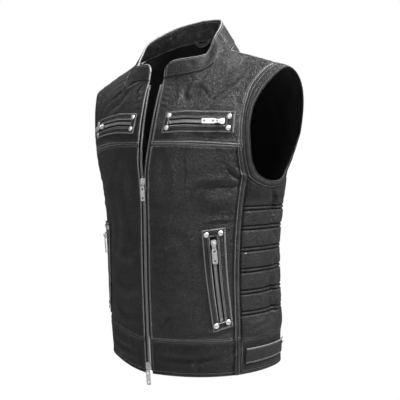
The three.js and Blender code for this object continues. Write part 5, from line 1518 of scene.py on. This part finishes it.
PATCH_TOP = PATCH["seat"] + PATCH["leather"]
POCKET_TEETH = {"seat": 1.3, "overlap": 0.3, "thick": 1.9}
END_STOP = {"gap": 2.6, "long": 1.6, "thick": 1.3}
POCKET_SLIDER_LIFT = 3.1
for number, (name, patch) in enumerate(PATCHES.items()):
    length, width = 1000 * patch["flat"][0], 1000 * patch["flat"][1]
    start, end, low, high = patch["slot"]
    slot_x = (start * length, end * length)
    slot_y = (low * width, high * width)
    along, across = ruled(length, slot_x, 2.6), ruled(width, slot_y, 2.2)
    x, y = np.meshgrid(along, across)
    p = patch_place(patch, x / length, y / width)
    n = patch_normal(patch, x / length, y / width)
    to_edge = np.min([x, length - x, y, width - y], axis=0)
    to_slot = np.hypot(np.maximum(np.maximum(slot_x[0] - x, x - slot_x[1]), 0),
                       np.maximum(np.maximum(slot_y[0] - y, y - slot_y[1]), 0))
    edge_rise, edge_wear_and_shade = near_edge(PATCH_EDGE, to_edge)
    lip_rise, lip_wear_and_shade = near_edge(LIP, to_slot)
    lumps = 0.35 * cloud(p, 16, 201 + number) + 0.2 * cloud(p, 7, 221 + number)
    cell_x, cell_y = np.meshgrid((along[:-1] + along[1:]) / 2, (across[:-1] + across[1:]) / 2)
    hole = ((cell_x > slot_x[0]) & (cell_x < slot_x[1]) & (cell_y > slot_y[0])
            & (cell_y < slot_y[1]))
    outer = p + n * (PATCH_TOP + edge_rise + lip_rise + lumps)[..., None]
    leaf = shell(f"{name}_patch", name, outer, p + n * PATCH["seat"], [leather],
                 join_wear_and_shade(edge_wear_and_shade, lip_wear_and_shade), hole=hole)

    def line_at(x_ends, y_ends):
        xs = np.linspace(*x_ends, 60) / length
        ys = np.linspace(*y_ends, 60) / width
        ways = patch_normal(patch, xs, ys)
        return patch_place(patch, xs, ys) + ways * (PATCH_TOP - 0.1), ways, 0.5

    sewn, lip = PATCH_EDGE["sewn"][0], LIP["sewn"][0]
    far_x, far_y = length - sewn, width - sewn
    beside_slot = (slot_x[0] - lip, slot_x[1] + lip)
    runs = [line_at((sewn, far_x), (level, level)) for level in (sewn, far_y)]
    runs += [line_at((spot, spot), (sewn, far_y)) for spot in (sewn, far_x)]
    runs += [line_at(beside_slot, (level, level)) for level in (slot_y[0] - lip, slot_y[1] + lip)]
    patch_thread = sew(f"{name}_thread", runs, thread)
    for k, (u, v) in enumerate(patch["rivets"]):
        dome_piece(f"{name}_dome_{k + 1}", f"{name}_rivet_{k + 1}", RIVET,
                                 patch_place(patch, u, v), patch_normal(patch, u, v),
                                 PATCH_TOP + 0.1)

    strip_u = np.linspace(start + STRIP["margin"] / 2, end - STRIP["margin"] / 2, 60)
    strip_v = np.linspace(low + 2 * STRIP["margin"], high - 2 * STRIP["margin"], 9)
    u, v = np.meshgrid(strip_u, strip_v)
    p, n = patch_place(patch, u, v), patch_normal(patch, u, v)
    strip = shell(f"{name}_zip_cloth", f"{name}_zip", p + n * (PATCH["seat"] + STRIP["top"]),
                  p + n * PATCH["seat"], [tape_cloth])
    strip_length = (strip_u[-1] - strip_u[0]) * length
    middle = (low + high) / 2
    rows = []
    for way_sign, shift in ((1, 0), (-1, 0.5)):
        count = int(strip_length / TOOTH_PITCH) - 2
        us = strip_u[0] + (np.arange(count) + 1 + shift) * TOOTH_PITCH / length
        out = patch_normal(patch, us, middle)
        run = unit(patch_place(patch, us + 0.01, middle) - patch_place(patch, us - 0.01, middle))
        aside = np.cross(out, run) * way_sign
        spots = patch_place(patch, us, middle) + out * (PATCH["seat"] + POCKET_TEETH["seat"])
        spots -= aside * POCKET_TEETH["overlap"]
        rows.append((spots, aside, run, out))
        # A longer end stop is clamped past each end of the row
        for last, way in ((0, -1), (-1, 1)):
            stop = spots[last] + run[last] * way * END_STOP["gap"]
            rows.append(([stop], [aside[last]], [END_STOP["long"] * run[last]],
                         [END_STOP["thick"] * out[last]]))
    pocket_teeth = teeth_piece(f"{name}_teeth", rows, POCKET_TEETH["thick"])
    add_slider(name, patch_place(patch, patch["slider"], middle),
               patch_place(patch, patch["pull"], middle),
               patch_normal(patch, patch["slider"], middle), POCKET_SLIDER_LIFT)

# Side straps
# A narrow strap on each side of the hem band, sewn along its lower edge. Its upper edge stands
# away from the band, and a nickel snap holds its back end.
STRAP = {"top": -318, "bottom": -346, "front": 0.27, "back": -0.27, "thick": 1.8, "flare": 2.6}
SNAP = {"radius": 5, "rise": 2.2}
STRAP_EDGE = {"d": [0, 0.4, 1.0, 1.8, 2.5, 3.2, 5], "rise": [-0.9, -0.3, 0.1, 0, -0.5, 0, 0],
              "rub": [0.9, 1, 0.8, 0, -1, 0, 0], "sewn": [2.5]}
STRAP_END = {**STRAP_EDGE, "sewn": []}
STRAP_JOINED = {**STRAP_END, "rub": [-0.8, -0.7, -0.5, -0.3, -0.2, 0, 0]}
STRAP_STANDS = {"v": [0, 0.5, 1], "out": [0, 0.6, STRAP["flare"]]}
SNAP_AT = {"from_end": 0.035, "above_middle": 6}


def strap_place(sign):
    def at(u, v):
        return flank_point(mix(STRAP["front"], STRAP["back"], u),
                           mix(STRAP["bottom"], STRAP["top"], v), sign)
    return at


for word, sign in SIDES:
    grid = lay_out(strap_place(sign), STRAP_JOINED, STRAP_END, STRAP_EDGE, STRAP_EDGE, pitch=2.4)
    p = grid["p"]
    n = outward(p)
    rise, rub = edge_relief(grid, np.zeros(p.shape[:-1]))
    v = np.broadcast_to(grid["v"][:, None], rise.shape)
    stand = 0.5 + smooth(STRAP_STANDS, "v", "out", v) + 0.3 * ripple(grid["u"] * 100, 14, 301) * v
    outer = p + n * (stand + STRAP["thick"] + np.maximum(rise, -1.0))[..., None]
    strap = shell(f"adjusting_strap_{word}", f"side_strap_{word}", outer,
                  p + n * stand[..., None], [binding], rub)
    strap_thread = sew(f"strap_thread_{word}", thread_runs(grid, outer, n), thread)
    snap_h = np.array((STRAP["top"] + STRAP["bottom"]) / 2 + SNAP_AT["above_middle"])
    snap_turn = np.array(STRAP["back"] + SNAP_AT["from_end"])
    way = normal_at(lambda *q: flank_point(*q, sign), snap_turn, snap_h, 0.004, 0.6)
    snap = dome_piece(f"strap_cap_{word}", f"strap_snap_{word}", SNAP,
                      flank_point(snap_turn, snap_h, sign), way, 0.5 + STRAP["thick"] + 1.4)

# Hanger loop
# A narrow strip of binding leather is sewn at both ends inside the back of the neck, and hangs
# in a shallow bow below the collar.
HANGER = {"half": 21, "drop": 11, "reach": 6, "width": 6, "thick": 1.4, "gap": 2.2}
across = np.linspace(-1, 1, 49)
bow = 1 - across ** 2
seam = neck_line(0.0001 + np.abs(across) * 0.09)
widths = np.array([0, 0.05, 0.14, 0.3, 0.5, 0.7, 0.86, 0.95, 1])[:, None]
crown = np.array([-0.45, -0.1, 0.05, 0.05, 0, 0.05, 0.05, -0.1, -0.45])[:, None, None]
p = np.stack([
    across * HANGER["half"] + 0 * widths,
    seam[:, 1] - HANGER["gap"] - HANGER["reach"] * bow + 0 * widths,
    seam[:, 2] - 2 - HANGER["drop"] * bow + widths * HANGER["width"],
], axis=-1)
forwards = np.array([0, -1, 0])
worn_rims = np.array([1, 1, 0.5, 0.1, 0, 0.1, 0.5, 1, 1])[:, None]
loop = shell("neck_hanger_loop", "hanger_loop",
             p + forwards * (HANGER["thick"] + crown), p - forwards * crown * 0.3, [binding],
             worn_rims)
